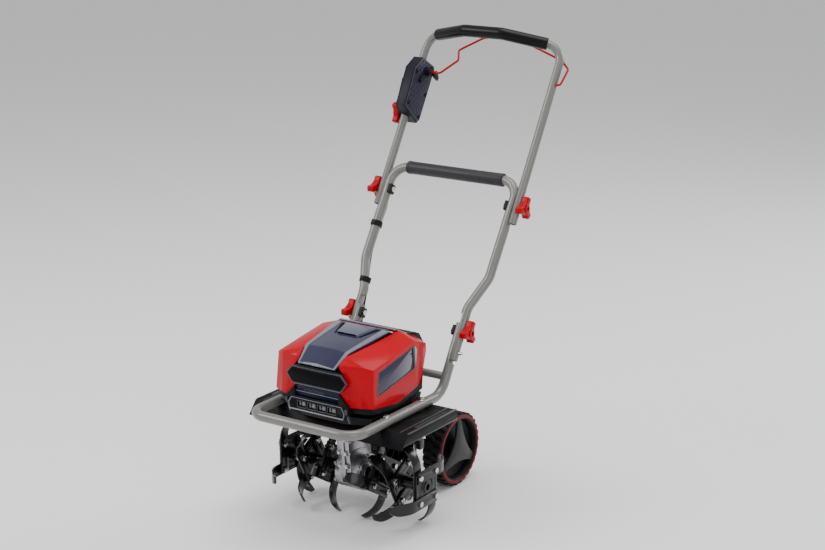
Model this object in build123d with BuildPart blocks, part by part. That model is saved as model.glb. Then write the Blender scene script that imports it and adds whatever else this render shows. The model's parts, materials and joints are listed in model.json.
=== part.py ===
"""Battery tiller: bumper frame, hood, folding handle, tine rotor and transport wheels.

+Z is up, -Y is the front (the bumper) and +X is the operator's right when pushing.
The origin is on the ground under the middle of the machine's box.
"""

import os
from math import cos, radians, sin

from build123d import *

os.makedirs("parts", exist_ok=True)

# ---------------------------------------------------------------- driving dimensions (mm)
AXLE_Y = -229.5  # the tine axle, ahead of the origin
AXLE_Z = 114.0
LEAN = 30.0  # the handle's lean back from vertical, degrees

TUBE_R = 12.5  # frame tube and lower handle
UPPER_TUBE_R = 11.0
TUBE_WALL = 1.5
RAIL_X = 155.0
RAIL_Z = 300.0
BUMPER_Y = -229.0
FRAME_N = -22.0  # the frame legs, measured square to the handle plane
LEG_TOP_S = 520.0  # distances up the handle plane
LOWER_FOOT_S = 424.0
LOW_PIVOT_S = 500.0
CROSS_S = 912.5
MID_PIVOT_S = 845.0
MID_PIVOT_N = -5.0
UPPER_FOOT_S = 800.0
TOP_S = 1288.0
LOWER_FOOT_X = 160.0
LOWER_X = 191.0
UPPER_X = 208.0
LOW_FLAT_X = 156.75  # where the flattened tube ends meet
MID_FLAT_X = 199.25
FLAT_GAP = 0.25
PIVOT_BOLT_R = 4.0
RUN_GAP = 0.05  # running clearance on a radius

SHAFT_R = 8.0
HUB_R = 15.0
STAR_X = (78.0, 140.0, 208.0)
STAR_PHASE = (-31.0, 28.0, 0.0)
PLATE_SIDE = 90.0
PLATE_T = 4.0
BOLT_HALF = 33.5
TINE_T = 4.0
TINE_W = 30.0
TINE_BEND_R = 62.0
TINE_BEND = 68.0
HUB_END_X = 213.0
SHAFT_END_X = 180.0

WORM_Y = -38.3
WORM_R = 8.0
WHEEL_GEAR_R = 30.0

WHEEL_Y = 297.0
WHEEL_R = 98.0
WHEEL_X = 90.5
WHEEL_W = 55.0
WHEEL_AXLE_R = 6.0
CARRIER_Y = 134.0
CARRIER_Z = 160.0

DECK_Z = 287.5
DECK_T = 2.0
SHELL_T = 3.0
LID_PIVOT_Y = 35.0
LID_PIVOT_Z = 478.0

LEAN_SIN = sin(radians(LEAN))
LEAN_COS = cos(radians(LEAN))
UP = Vector(0, LEAN_SIN, LEAN_COS)
BACK = Vector(0, LEAN_COS, -LEAN_SIN)
SIDES = (-1, 1)


# ---------------------------------------------------------------- places and planes
def spot(x, y, z):
    """A point whose y is counted from the tine axle."""
    return Vector(x, AXLE_Y + y, z)


def lean(x, s, n):
    """A point at distance s up the handle plane and n behind it."""
    return spot(x, 0, 0) + UP * s + BACK * n


def side_plane(x):
    """Upright plane at x: its axes are the y counted from the axle, and z."""
    return Plane(origin=spot(x, 0, 0), x_dir=(0, 1, 0), z_dir=(1, 0, 0))


def front_plane(y):
    """Upright plane at y, facing forward: its axes are x and z."""
    return Plane(origin=spot(0, y, 0), x_dir=(1, 0, 0), z_dir=(0, -1, 0))


def top_plane(z):
    """Level plane at z: its axes are x and the y counted from the axle."""
    return Plane(origin=spot(0, 0, z), x_dir=(1, 0, 0), z_dir=(0, 0, 1))


def handle_side(x):
    """Plane at x with the handle's own axes: n backward, s upward."""
    return Plane(origin=spot(x, 0, 0), x_dir=BACK, z_dir=(1, 0, 0))


def handle_cross(s):
    """Plane across the handle at s: its axes are x and n, its normal runs up the handle."""
    return Plane(origin=lean(0, s, 0), x_dir=(1, 0, 0), z_dir=UP)


# ---------------------------------------------------------------- shared shapes
def swept(points, radii, radius):
    """A round bar along straight runs joined by tangent arcs."""
    with BuildPart() as bar:
        with BuildLine() as run:
            FilletPolyline(*points, radius=radii)
        with BuildSketch(Plane(origin=run.line @ 0, z_dir=run.line % 0)):
            Circle(radius)
        sweep(path=run.line)
    return bar.part


def straight_bar(start, end, radius, bore=0):
    """A round bar or a sleeve between two points."""
    way = end - start
    with BuildPart() as bar:
        with BuildSketch(Plane(origin=start, z_dir=way)):
            Circle(radius)
            if bore:
                Circle(bore, mode=Mode.SUBTRACT)
        extrude(amount=way.length)
    return bar.part


def prism(plane, points, depth, both=False):
    """A polygon drawn on a plane and pushed out along its normal."""
    with BuildPart() as body:
        with BuildSketch(plane):
            with BuildLine():
                Polyline(*points, close=True)
            make_face()
        extrude(amount=depth, both=both)
    return body.part


def rect(low, high):
    """The corners of an upright rectangle between two opposite corners."""
    return [(low[0], low[1]), (high[0], low[1]), (high[0], high[1]), (low[0], high[1])]


def finish(body, name):
    """Label a finished sub-part and write its file."""
    body.label = name
    export_step(body, f"parts/{name}.step")


def mirrored(points):
    """Points on the right-hand side, then their mirror images in reverse order."""
    return list(points) + [(-x, y) for x, y in reversed(points)]


# ---------------------------------------------------------------- frame and handle tubes
FRAME_RUN = [
    lean(-RAIL_X, LEG_TOP_S, FRAME_N),
    spot(-RAIL_X, (FRAME_N + RAIL_Z * LEAN_SIN) / LEAN_COS, RAIL_Z),
    spot(-RAIL_X, BUMPER_Y, RAIL_Z),
    spot(RAIL_X, BUMPER_Y, RAIL_Z),
    spot(RAIL_X, (FRAME_N + RAIL_Z * LEAN_SIN) / LEAN_COS, RAIL_Z),
    lean(RAIL_X, LEG_TOP_S, FRAME_N),
]
FRAME_BENDS = [60, 45, 45, 60]

LOWER_RUN = [
    (-LOWER_FOOT_X, LOWER_FOOT_S, FRAME_N),
    (-LOWER_FOOT_X, 562, FRAME_N),
    (-LOWER_X, 649, -12),
    (-LOWER_X - 1, CROSS_S, -2),
    (LOWER_X + 1, CROSS_S, -2),
    (LOWER_X, 649, -12),
    (LOWER_FOOT_X, 562, FRAME_N),
    (LOWER_FOOT_X, LOWER_FOOT_S, FRAME_N),
]
LOWER_BENDS = [60, 60, 47, 47, 60, 60]

UPPER_RUN = [
    (-UPPER_X, UPPER_FOOT_S, MID_PIVOT_N),
    (-UPPER_X, TOP_S, 2),
    (-58, TOP_S - 2, -67),
    (58, TOP_S - 2, -67),
    (UPPER_X, TOP_S, 2),
    (UPPER_X, UPPER_FOOT_S, MID_PIVOT_N),
]
UPPER_BENDS = [45, 40, 40, 45]


def flat_end(side, flat_x, outside, s_low, s_high, n_mid):
    """The block that a flattened tube end loses, beyond flat_x on one side."""
    reach = 40 if outside else -40
    corners = rect((n_mid - 30, s_low), (n_mid + 30, s_high))
    return prism(handle_side(side * flat_x), corners, side * reach)


def flattened_tube(run, bends, radius, flats, cross_holes):
    """A bent tube with flattened ends and cross holes, its wall closed at the flats."""
    outer = swept(run, bends, radius)
    bore = swept(run, bends, radius - TUBE_WALL)
    for side in SIDES:
        for flat_x, outside, s_low, s_high, n_mid in flats:
            inward = -TUBE_WALL if outside else TUBE_WALL
            outer -= flat_end(side, flat_x, outside, s_low, s_high, n_mid)
            bore -= flat_end(side, flat_x + inward, outside, s_low - TUBE_WALL, s_high + TUBE_WALL, n_mid)
    tube = outer - bore
    for x, s, n, hole_r in cross_holes:
        for side in SIDES:
            way = Vector(side * 30, 0, 0)
            tube -= straight_bar(lean(side * x, s, n) - way, lean(side * x, s, n) + way, hole_r)
    return tube


# flat: its x, whether the outer side is lost, its span up the handle and its middle n
FRAME_FLATS = [(LOW_FLAT_X - FLAT_GAP, True, 414, 540, FRAME_N)]
LOWER_FLATS = [
    (LOW_FLAT_X + FLAT_GAP, False, 410, 545, FRAME_N),
    (MID_FLAT_X - FLAT_GAP, True, 785, 905, MID_PIVOT_N),
]
UPPER_FLATS = [(MID_FLAT_X + FLAT_GAP, False, 790, 905, MID_PIVOT_N)]
PIVOT_HOLE_R = PIVOT_BOLT_R + RUN_GAP

frame_tube = flattened_tube(
    FRAME_RUN, FRAME_BENDS, TUBE_R, FRAME_FLATS, [(RAIL_X, LOW_PIVOT_S, FRAME_N, PIVOT_HOLE_R)]
)
lower_tube = flattened_tube(
    [lean(*point) for point in LOWER_RUN],
    LOWER_BENDS,
    TUBE_R,
    LOWER_FLATS,
    [(LOWER_FOOT_X, LOW_PIVOT_S, FRAME_N, PIVOT_HOLE_R), (LOWER_X, MID_PIVOT_S, MID_PIVOT_N, PIVOT_HOLE_R)],
)
upper_tube = flattened_tube(
    [lean(*point) for point in UPPER_RUN],
    UPPER_BENDS,
    UPPER_TUBE_R,
    UPPER_FLATS,
    [(UPPER_X, MID_PIVOT_S, MID_PIVOT_N, PIVOT_HOLE_R)],
)

RAIL_BOLT_Y = (-92.0, 58.0)
BOLT_HOLE_R = PIVOT_BOLT_R + 0.1
RAIL_BOLT_SPOTS = [(side * RAIL_X, y) for side in SIDES for y in RAIL_BOLT_Y]
with BuildPart() as bumper_frame:
    add(frame_tube)
    with BuildSketch(top_plane(RAIL_Z - 20)):
        with Locations(*RAIL_BOLT_SPOTS):
            Circle(BOLT_HOLE_R)
    extrude(amount=40, mode=Mode.SUBTRACT)
finish(bumper_frame.part, "bumper_frame")

CROSS_TUBE_S = 380.0
frame_solid = swept(FRAME_RUN, FRAME_BENDS, TUBE_R)
cross_bar = straight_bar(lean(-RAIL_X, CROSS_TUBE_S, FRAME_N), lean(RAIL_X, CROSS_TUBE_S, FRAME_N), 10, 8.5)
with BuildPart() as rear_cross_tube:
    add(cross_bar)
    add(frame_solid, mode=Mode.SUBTRACT)
cross_tube_middle = rear_cross_tube.part.solids().sort_by(SortBy.VOLUME)[-1]
finish(Part(cross_tube_middle.wrapped), "rear_cross_tube")

with BuildPart() as lower_handle:
    add(lower_tube)
finish(lower_handle.part, "lower_handle")

BAIL_PIVOT_S = 1183.0
BAIL_PIVOT_N = -4.0
BAIL_R = 3.0
bail_hole = straight_bar(
    lean(UPPER_X - 30, BAIL_PIVOT_S, BAIL_PIVOT_N),
    lean(UPPER_X + 30, BAIL_PIVOT_S, BAIL_PIVOT_N),
    BAIL_R + RUN_GAP,
)
with BuildPart() as upper_handle:
    add(upper_tube)
    add(bail_hole, mode=Mode.SUBTRACT)
finish(upper_handle.part, "upper_handle")

CROSS_GRIP_X = 145.0
with BuildPart() as cross_grip:
    with BuildSketch(Plane(origin=lean(-CROSS_GRIP_X, CROSS_S, -2), z_dir=(1, 0, 0))):
        Circle(17)
        Circle(TUBE_R, mode=Mode.SUBTRACT)
    extrude(amount=2 * CROSS_GRIP_X)
finish(cross_grip.part, "cross_grip")

TOP_GRIP_X = 169.0
grip_share = (TOP_GRIP_X - 58) / (UPPER_X - 58)
grip_end = (TOP_S - 2 + 2 * grip_share, -67 + 69 * grip_share)
GRIP_RUN = [
    lean(-TOP_GRIP_X, *grip_end),
    lean(-58, TOP_S - 2, -67),
    lean(58, TOP_S - 2, -67),
    lean(TOP_GRIP_X, *grip_end),
]
grip_bore = swept(GRIP_RUN, [40, 40], UPPER_TUBE_R)
grip_foam = swept(GRIP_RUN, [40, 40], 16)
with BuildPart() as top_grip:
    add(grip_foam)
    add(grip_bore, mode=Mode.SUBTRACT)
finish(top_grip.part, "top_grip")


# ---------------------------------------------------------------- pivot bolts, saddles and knobs
def pivot_bolt(side, s, n, head_x, tip_x):
    """A hexagon bolt along X, its head on the inner side."""
    with BuildPart() as bolt:
        with BuildSketch(Plane(origin=lean(side * head_x, s, n), z_dir=(side, 0, 0))):
            RegularPolygon(7.5, 6)
        extrude(amount=5)
        with BuildSketch(Plane(origin=lean(side * (head_x + 5), s, n), z_dir=(side, 0, 0))):
            Circle(PIVOT_BOLT_R)
        extrude(amount=tip_x - head_x - 5)
    return bolt.part


def saddle(side, s, n, centre_x, centre_n, radius, face_x):
    """A plastic block that seats a bolt head on the round inner side of a tube."""
    with BuildPart() as block:
        with BuildSketch(Plane(origin=lean(side * face_x, s, n), x_dir=BACK, z_dir=(side, 0, 0))):
            RectangleRounded(23, 26, 4)
        extrude(amount=9)
    tube_way = UP * 30
    tube_middle = lean(side * centre_x, s, centre_n)
    seat = straight_bar(tube_middle - tube_way, tube_middle + tube_way, radius)
    hole = straight_bar(lean(side * (face_x - 2), s, n), lean(side * (face_x + 12), s, n), PIVOT_HOLE_R)
    return block.part - seat - hole


def knob(side, s, n, x_low, thick, bore_depth, spin):
    """A three-lobed wing knob on an X axis with a blind bore for its bolt."""
    base = Plane(origin=lean(side * x_low, s, n), x_dir=BACK, z_dir=(side, 0, 0))
    with BuildPart() as body:
        with BuildSketch(base):
            Circle(28)
            with PolarLocations(38, 3, start_angle=spin):
                Circle(22, mode=Mode.SUBTRACT)
        extrude(amount=thick)
        fillet(body.edges().filter_by(Axis.X), 3.5)
        chamfer(body.faces().sort_by(Axis.X)[-1 if side > 0 else 0].edges(), 2)
        with BuildSketch(base):
            Circle(PIVOT_HOLE_R)
        extrude(amount=bore_depth, mode=Mode.SUBTRACT)
    return body.part


LOW_KNOB_X = 173.0
MID_KNOB_X = 219.5
KNOB_T = 21.0
KNOB_BORE = 14.0
LOW_HEAD_X = 134.0
MID_HEAD_X = 170.5

low_bolt_pair = [pivot_bolt(side, LOW_PIVOT_S, FRAME_N, LOW_HEAD_X, LOW_KNOB_X + 12) for side in SIDES]
with BuildPart() as low_bolts:
    for bolt in low_bolt_pair:
        add(bolt)
finish(low_bolts.part, "low_bolts")

mid_bolt_pair = [pivot_bolt(side, MID_PIVOT_S, MID_PIVOT_N, MID_HEAD_X, MID_KNOB_X + 12) for side in SIDES]
with BuildPart() as mid_bolts:
    for bolt in mid_bolt_pair:
        add(bolt)
finish(mid_bolts.part, "mid_bolts")

low_saddle_pair = [
    saddle(side, LOW_PIVOT_S, FRAME_N, RAIL_X, FRAME_N, TUBE_R + 0.2, LOW_HEAD_X + 5) for side in SIDES
]
with BuildPart() as low_saddles:
    for block in low_saddle_pair:
        add(block)
finish(low_saddles.part, "low_saddles")

mid_saddle_pair = [
    saddle(side, MID_PIVOT_S, MID_PIVOT_N, LOWER_X + 0.7, -4.6, TUBE_R + 0.4, MID_HEAD_X + 5)
    for side in SIDES
]
with BuildPart() as mid_saddles:
    for block in mid_saddle_pair:
        add(block)
finish(mid_saddles.part, "mid_saddles")

for side, name in zip(SIDES, ("left", "right")):
    low_knob = knob(side, LOW_PIVOT_S, FRAME_N, LOW_KNOB_X, KNOB_T, KNOB_BORE, 30)
    finish(low_knob, f"low_knob_{name}")
    mid_knob = knob(side, MID_PIVOT_S, MID_PIVOT_N, MID_KNOB_X, KNOB_T, KNOB_BORE, 30)
    finish(mid_knob, f"mid_knob_{name}")

# ---------------------------------------------------------------- switch box, bail and buttons
CASE_SPLIT_X = -UPPER_X
CASE_IN_X = -180.0
CASE_OUT_X = -228.0
CASE_OUTLINE = [
    (-57, 1065),
    (-62, 1172),
    (-38, 1211),
    (25, 1211),
    (31, 1203),
    (31, 1056),
    (22, 1044),
]
OUTER_OUTLINE = [(-22, 1065), (-30, 1172), (-30, 1195), (-20, 1211), *CASE_OUTLINE[3:]]
CASE_HOLLOW = [(-53, 1069), (-58, 1170), (-36, 1206), (23, 1206), (27, 1201), (27, 1058), (20, 1049)]
OUTER_HOLLOW = [(-18, 1069), (-26, 1172), (-26, 1193), (-18, 1206), *CASE_HOLLOW[3:]]
case_tube = swept([lean(*point) for point in UPPER_RUN], UPPER_BENDS, UPPER_TUBE_R + 0.1)
inner_hollow = prism(handle_side(CASE_IN_X - SHELL_T), CASE_HOLLOW, CASE_SPLIT_X - CASE_IN_X + 2 * SHELL_T)
outer_hollow = prism(handle_side(CASE_OUT_X + SHELL_T), OUTER_HOLLOW, CASE_SPLIT_X - CASE_OUT_X)
bail_boss = straight_bar(
    lean(CASE_IN_X, BAIL_PIVOT_S, BAIL_PIVOT_N), lean(CASE_IN_X + 15, BAIL_PIVOT_S, BAIL_PIVOT_N), 10
)
bail_bore = straight_bar(
    lean(CASE_IN_X - 8, BAIL_PIVOT_S, BAIL_PIVOT_N),
    lean(CASE_IN_X + 20, BAIL_PIVOT_S, BAIL_PIVOT_N),
    BAIL_R + RUN_GAP,
)
BUTTON_S = 1128.0
BUTTON_N = -12.0
BUTTON_R = 9.0
button_well = straight_bar(
    lean(CASE_OUT_X - 5, BUTTON_S, BUTTON_N), lean(CASE_OUT_X + 10, BUTTON_S, BUTTON_N), BUTTON_R + 0.4
)
BOX_KNOB_S = 1064.0
BOX_KNOB_N = 6.0
BOX_KNOB_X = 228.5
box_bolt_hole = straight_bar(
    lean(CASE_OUT_X - 5, BOX_KNOB_S, BOX_KNOB_N),
    lean(CASE_OUT_X + 10, BOX_KNOB_S, BOX_KNOB_N),
    PIVOT_HOLE_R,
)
inner_case_block = prism(handle_side(CASE_SPLIT_X), CASE_OUTLINE, CASE_IN_X - CASE_SPLIT_X)
outer_case_block = prism(handle_side(CASE_SPLIT_X), OUTER_OUTLINE, CASE_OUT_X - CASE_SPLIT_X)

with BuildPart() as switch_case_inner:
    add(inner_case_block)
    chamfer(switch_case_inner.faces().sort_by(Axis.X)[-1].edges(), 2)
    add(bail_boss)
    add(inner_hollow, mode=Mode.SUBTRACT)
    add(outer_hollow, mode=Mode.SUBTRACT)
    add(case_tube, mode=Mode.SUBTRACT)
    add(bail_bore, mode=Mode.SUBTRACT)
finish(switch_case_inner.part, "switch_case_inner")

with BuildPart() as switch_case_outer:
    add(outer_case_block)
    chamfer(switch_case_outer.faces().sort_by(Axis.X)[0].edges(), 2)
    add(outer_hollow, mode=Mode.SUBTRACT)
    add(case_tube, mode=Mode.SUBTRACT)
    add(button_well, mode=Mode.SUBTRACT)
    add(box_bolt_hole, mode=Mode.SUBTRACT)
finish(switch_case_outer.part, "switch_case_outer")

with BuildPart() as start_button:
    with BuildSketch(Plane(origin=lean(CASE_OUT_X + 5, BUTTON_S, BUTTON_N), z_dir=(-1, 0, 0))):
        Circle(BUTTON_R)
    extrude(amount=11)
    chamfer(start_button.faces().sort_by(Axis.X)[0].edges(), 1.5)
finish(start_button.part, "start_button")

with BuildPart() as clamp_bolt:
    with BuildSketch(Plane(origin=lean(CASE_OUT_X + 8, BOX_KNOB_S, BOX_KNOB_N), z_dir=(-1, 0, 0))):
        RegularPolygon(7, 6)
    extrude(amount=5)
    with BuildSketch(Plane(origin=lean(CASE_OUT_X + 3, BOX_KNOB_S, BOX_KNOB_N), z_dir=(-1, 0, 0))):
        Circle(PIVOT_BOLT_R)
    extrude(amount=13)
finish(clamp_bolt.part, "clamp_bolt")

box_knob = knob(-1, BOX_KNOB_S, BOX_KNOB_N, BOX_KNOB_X, 18, 12, 30)
finish(box_knob, "box_knob")

BAIL_RUN = [
    (CASE_IN_X + 2, BAIL_PIVOT_S, BAIL_PIVOT_N),
    (-137, BAIL_PIVOT_S, BAIL_PIVOT_N),
    (-103, 1231, 13.4),
    (-119, 1264, 25.6),
    (-62, 1314, 43.6),
    (6, 1318, 45.3),
    (95, 1299, 38),
    (172, 1271, 28),
    (200, 1261, 24),
    (231, 1235, 15),
    (231, BAIL_PIVOT_S, BAIL_PIVOT_N),
    (UPPER_X - 4, BAIL_PIVOT_S, BAIL_PIVOT_N),
]
BAIL_BENDS = [12, 9, 9, 40, 60, 60, 20, 12, 12, 6]
bail_wire = swept([lean(*point) for point in BAIL_RUN], BAIL_BENDS, BAIL_R)
with BuildPart() as bail:
    add(bail_wire)
finish(bail.part, "bail")

# ---------------------------------------------------------------- control cable and its clips
CABLE_R = 3.0
CABLE_UPPER = [(-212, 1041, 12.5), (-214, 985, 12), (-222, 945, 9), (-222, 925, 9), (-216.5, 905, 10.2)]
CABLE_MID = [(-216.4, 904.5, 10.2), (-207.5, 872, 12.2), (-198, 835, 17), (-191, 800, 13), (-191, 768, 10)]
CABLE_LOWER = [
    (-191, 767.5, 10),
    (-191, 720, 8),
    (-191, 672, 6),
    (-182, 628, 3),
    (-166, 582, -4.5),
    (-161, 552, -5),
]
CABLE_LOW = [
    (-161, 551.5, -5),
    (-159, 520, -2),
    (-157, 492, 1),
    (-150, 462, 2),
    (-133, 440, -6),
    (-114, 428, -19),
    (-101, 425, -40),
]


def cable(points):
    """A stretch of cable, each bend as wide as its two runs allow."""
    route = [lean(*point) for point in points]
    radii = []
    for before, corner, after in zip(route, route[1:], route[2:]):
        turn = (corner - before).get_angle(after - corner)
        shorter = min((corner - before).length, (after - corner).length)
        radii.append(0.45 * shorter / max(sin(radians(turn / 2)) / cos(radians(turn / 2)), 0.01))
    return swept(route, radii, CABLE_R)


for name, points in (
    ("cable_upper", CABLE_UPPER),
    ("cable_mid_loop", CABLE_MID),
    ("cable_lower", CABLE_LOWER),
    ("cable_low_loop", CABLE_LOW),
):
    finish(cable(points), name)


def cable_clip(x, s, n, cable_x, cable_n):
    """A clip block round the tube and the cable."""
    tube_ring = straight_bar(lean(x, s - 7, n), lean(x, s + 7, n), TUBE_R + 3)
    cable_ring = straight_bar(lean(cable_x, s - 7, cable_n), lean(cable_x, s + 7, cable_n), CABLE_R + 3.5)
    return tube_ring + cable_ring


clip_high = cable_clip(-191.4, 745, -8.4, -191, 9)
clip_low = cable_clip(-167, 588, -19, -168, -4)
leg_core = swept([lean(*point) for point in LOWER_RUN], LOWER_BENDS, TUBE_R)
cable_core = cable(CABLE_LOWER)
with BuildPart() as cable_clips:
    add(clip_high)
    add(clip_low)
    add(leg_core, mode=Mode.SUBTRACT)
    add(cable_core, mode=Mode.SUBTRACT)
finish(cable_clips.part, "cable_clips")

# ---------------------------------------------------------------- deck
DECK_X = 230.0
FLANGE_BOLT_SPOTS = [(side * 38, y) for side in SIDES for y in (-70, 26)]
DECK_SIDE = [(-112, DECK_Z), (104, DECK_Z), (110, 268), (108, 268), (102.5, DECK_Z - DECK_T)]
DECK_SIDE += [(-111, DECK_Z - DECK_T), (-137, 254), (-139, 255)]
deck_sheet = prism(side_plane(0), DECK_SIDE, DECK_X, both=True)
WING_SIDE = [(-112, DECK_Z), (104, DECK_Z), (107, 262), (-133, 262)]
deck_wings = [prism(side_plane(side * (DECK_X - 2)), WING_SIDE, side * DECK_T) for side in SIDES]
with BuildPart() as deck:
    add(deck_sheet)
    for wing in deck_wings:
        add(wing)
    with BuildSketch(top_plane(DECK_Z)):
        with Locations((0, WORM_Y)):
            Circle(16)
        with Locations(*RAIL_BOLT_SPOTS, *FLANGE_BOLT_SPOTS):
            Circle(BOLT_HOLE_R)
    extrude(amount=-2 * DECK_T, mode=Mode.SUBTRACT)
finish(deck.part, "deck")

# ---------------------------------------------------------------- gearbox
NECK_X = 18.0
FLANGE_LOW = DECK_Z - DECK_T - 8
case_round = straight_bar(spot(-34, 0, AXLE_Z), spot(34, 0, AXLE_Z), 47)
neck_corners = [(-66, FLANGE_LOW), (-58, 190), (-47, AXLE_Z), (40, 140), (18, FLANGE_LOW)]
case_neck = prism(side_plane(0), neck_corners, NECK_X, both=True)
case_flange = prism(top_plane(FLANGE_LOW), rect((-50, -82), (50, 38)), 8)
case_bosses = straight_bar(spot(-38, 0, AXLE_Z), spot(38, 0, AXLE_Z), 24)
gear_room = straight_bar(spot(-22, 0, AXLE_Z), spot(22, 0, AXLE_Z), 36)
seat_room = straight_bar(spot(-33, 0, AXLE_Z), spot(33, 0, AXLE_Z), 16)
shaft_room = straight_bar(spot(-40, 0, AXLE_Z), spot(40, 0, AXLE_Z), SHAFT_R + 0.4)
worm_room = straight_bar(spot(0, WORM_Y, 92), spot(0, WORM_Y, DECK_Z), 13)
hollow_corners = [(-16, FLANGE_LOW - 4), (-18, 180), (-8, 166), (22, 170), (8, FLANGE_LOW - 4)]
neck_hollow = prism(side_plane(0), hollow_corners, NECK_X - 7, both=True)
with BuildPart() as gearbox_housing:
    add(case_round)
    add(case_neck)
    add(case_flange)
    add(case_bosses)
    add(gear_room, mode=Mode.SUBTRACT)
    add(seat_room, mode=Mode.SUBTRACT)
    add(shaft_room, mode=Mode.SUBTRACT)
    add(worm_room, mode=Mode.SUBTRACT)
    add(neck_hollow, mode=Mode.SUBTRACT)
    with BuildSketch(top_plane(FLANGE_LOW)):
        with Locations(*FLANGE_BOLT_SPOTS):
            Circle(BOLT_HOLE_R)
    extrude(amount=8, mode=Mode.SUBTRACT)
finish(gearbox_housing.part, "gearbox_housing")

WORM_SHAFT_R = 5.0
bearing_rings = [
    straight_bar(spot(side * 23, 0, AXLE_Z), spot(side * 33, 0, AXLE_Z), 16, SHAFT_R + RUN_GAP)
    for side in SIDES
]
bearing_rings += [
    straight_bar(spot(0, WORM_Y, z), spot(0, WORM_Y, z + 9), 13, WORM_SHAFT_R + RUN_GAP)
    for z in (160, DECK_Z - 10)
]
with BuildPart() as bearings:
    for bearing in bearing_rings:
        add(bearing)
finish(bearings.part, "bearings")


def deck_bolt(x, y, top, bottom):
    """A hexagon bolt with its head up and a nut near its lower end."""
    with BuildPart() as bolt:
        with BuildSketch(top_plane(top)):
            with Locations((x, y)):
                RegularPolygon(7.5, 6)
        extrude(amount=5)
        with BuildSketch(top_plane(bottom - 10)):
            with Locations((x, y)):
                Circle(PIVOT_BOLT_R)
        extrude(amount=top - bottom + 10)
        with BuildSketch(top_plane(bottom - 6)):
            with Locations((x, y)):
                RegularPolygon(7.5, 6)
        extrude(amount=6)
    return bolt.part


bolt_set = [deck_bolt(x, y, RAIL_Z + TUBE_R - 0.3, DECK_Z - DECK_T) for x, y in RAIL_BOLT_SPOTS]
bolt_set += [deck_bolt(x, y, DECK_Z, FLANGE_LOW) for x, y in FLANGE_BOLT_SPOTS]
with BuildPart() as chassis_bolts:
    for bolt in bolt_set:
        add(bolt)
    add(bumper_frame.part, mode=Mode.SUBTRACT)
finish(chassis_bolts.part, "chassis_bolts")

# ---------------------------------------------------------------- motor, worm and worm wheel
MOTOR_LOW = DECK_Z + 1.0
MOTOR_H = 84.0
MOTOR_R = 41.0
with BuildPart() as motor_can:
    with BuildSketch(top_plane(MOTOR_LOW)):
        with Locations((0, WORM_Y)):
            Circle(MOTOR_R)
    extrude(amount=MOTOR_H)
    with BuildSketch(top_plane(MOTOR_LOW + 5)):
        with Locations((0, WORM_Y)):
            Circle(33)
    extrude(amount=MOTOR_H - 9, mode=Mode.SUBTRACT)
    with BuildSketch(top_plane(MOTOR_LOW)):
        with Locations((0, WORM_Y)):
            Circle(WORM_SHAFT_R + 0.4)
    extrude(amount=6, mode=Mode.SUBTRACT)
finish(motor_can.part, "motor_can")

with BuildPart() as worm:
    with BuildSketch(top_plane(98)):
        with Locations((0, WORM_Y)):
            Circle(WORM_R)
    extrude(amount=34)
    with BuildSketch(top_plane(98)):
        with Locations((0, WORM_Y)):
            Circle(WORM_SHAFT_R)
    extrude(amount=MOTOR_LOW + 62 - 98)
finish(worm.part, "worm")

with BuildPart() as motor_rotor:
    with BuildSketch(top_plane(MOTOR_LOW + 12)):
        with Locations((0, WORM_Y)):
            Circle(32)
            Circle(WORM_SHAFT_R, mode=Mode.SUBTRACT)
    extrude(amount=50)
finish(motor_rotor.part, "motor_rotor")

with BuildPart() as tine_shaft:
    with BuildSketch(side_plane(-SHAFT_END_X)):
        with Locations((0, AXLE_Z)):
            Circle(SHAFT_R)
    extrude(amount=2 * SHAFT_END_X)
finish(tine_shaft.part, "tine_shaft")

with BuildPart() as worm_wheel:
    with BuildSketch(side_plane(-9)):
        with Locations((0, AXLE_Z)):
            Circle(WHEEL_GEAR_R)
            Circle(SHAFT_R, mode=Mode.SUBTRACT)
    extrude(amount=18)
finish(worm_wheel.part, "worm_wheel")

# ---------------------------------------------------------------- tine stars
HUB_SPANS = ((39.5, 172.0), (173.0, HUB_END_X))
HUB_WEB = 2.0  # the wall between the shaft and the outer hub's open end
hub_tubes = [
    straight_bar(spot(side * low, 0, AXLE_Z), spot(side * high, 0, AXLE_Z), HUB_R, SHAFT_R + RUN_GAP)
    for side in SIDES
    for low, high in HUB_SPANS
]
hub_webs = [
    straight_bar(spot(side * SHAFT_END_X, 0, AXLE_Z), spot(side * (SHAFT_END_X + HUB_WEB), 0, AXLE_Z), HUB_R)
    for side in SIDES
]
with BuildPart() as tine_hubs:
    for piece in hub_tubes + hub_webs:
        add(piece)
finish(tine_hubs.part, "tine_hubs")

with BuildPart() as plate:
    with BuildSketch(Plane.YZ.offset(-PLATE_T / 2)):
        RectangleRounded(PLATE_SIDE, PLATE_SIDE, 5)
        Circle(HUB_R, mode=Mode.SUBTRACT)
        with GridLocations(2 * BOLT_HALF, 2 * BOLT_HALF, 2, 2):
            Circle(BOLT_HOLE_R, mode=Mode.SUBTRACT)
    extrude(amount=PLATE_T)

TINE_ROOT = 41.0
TINE_STRAIGHT = 51.6
TINE_REACH = TINE_STRAIGHT + TINE_BEND_R * sin(radians(TINE_BEND))
with BuildPart() as tine_outline:
    with BuildSketch(Plane.YZ) as outline:
        with Locations(((TINE_ROOT - TINE_REACH) / 2, -BOLT_HALF)):
            Rectangle(TINE_ROOT + TINE_REACH, TINE_W)
        fillet(outline.vertices().group_by(Axis.X)[0], 13)
        with Locations((BOLT_HALF, -BOLT_HALF), (-BOLT_HALF, -BOLT_HALF)):
            Circle(BOLT_HOLE_R, mode=Mode.SUBTRACT)
    extrude(amount=60, both=True)

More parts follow.
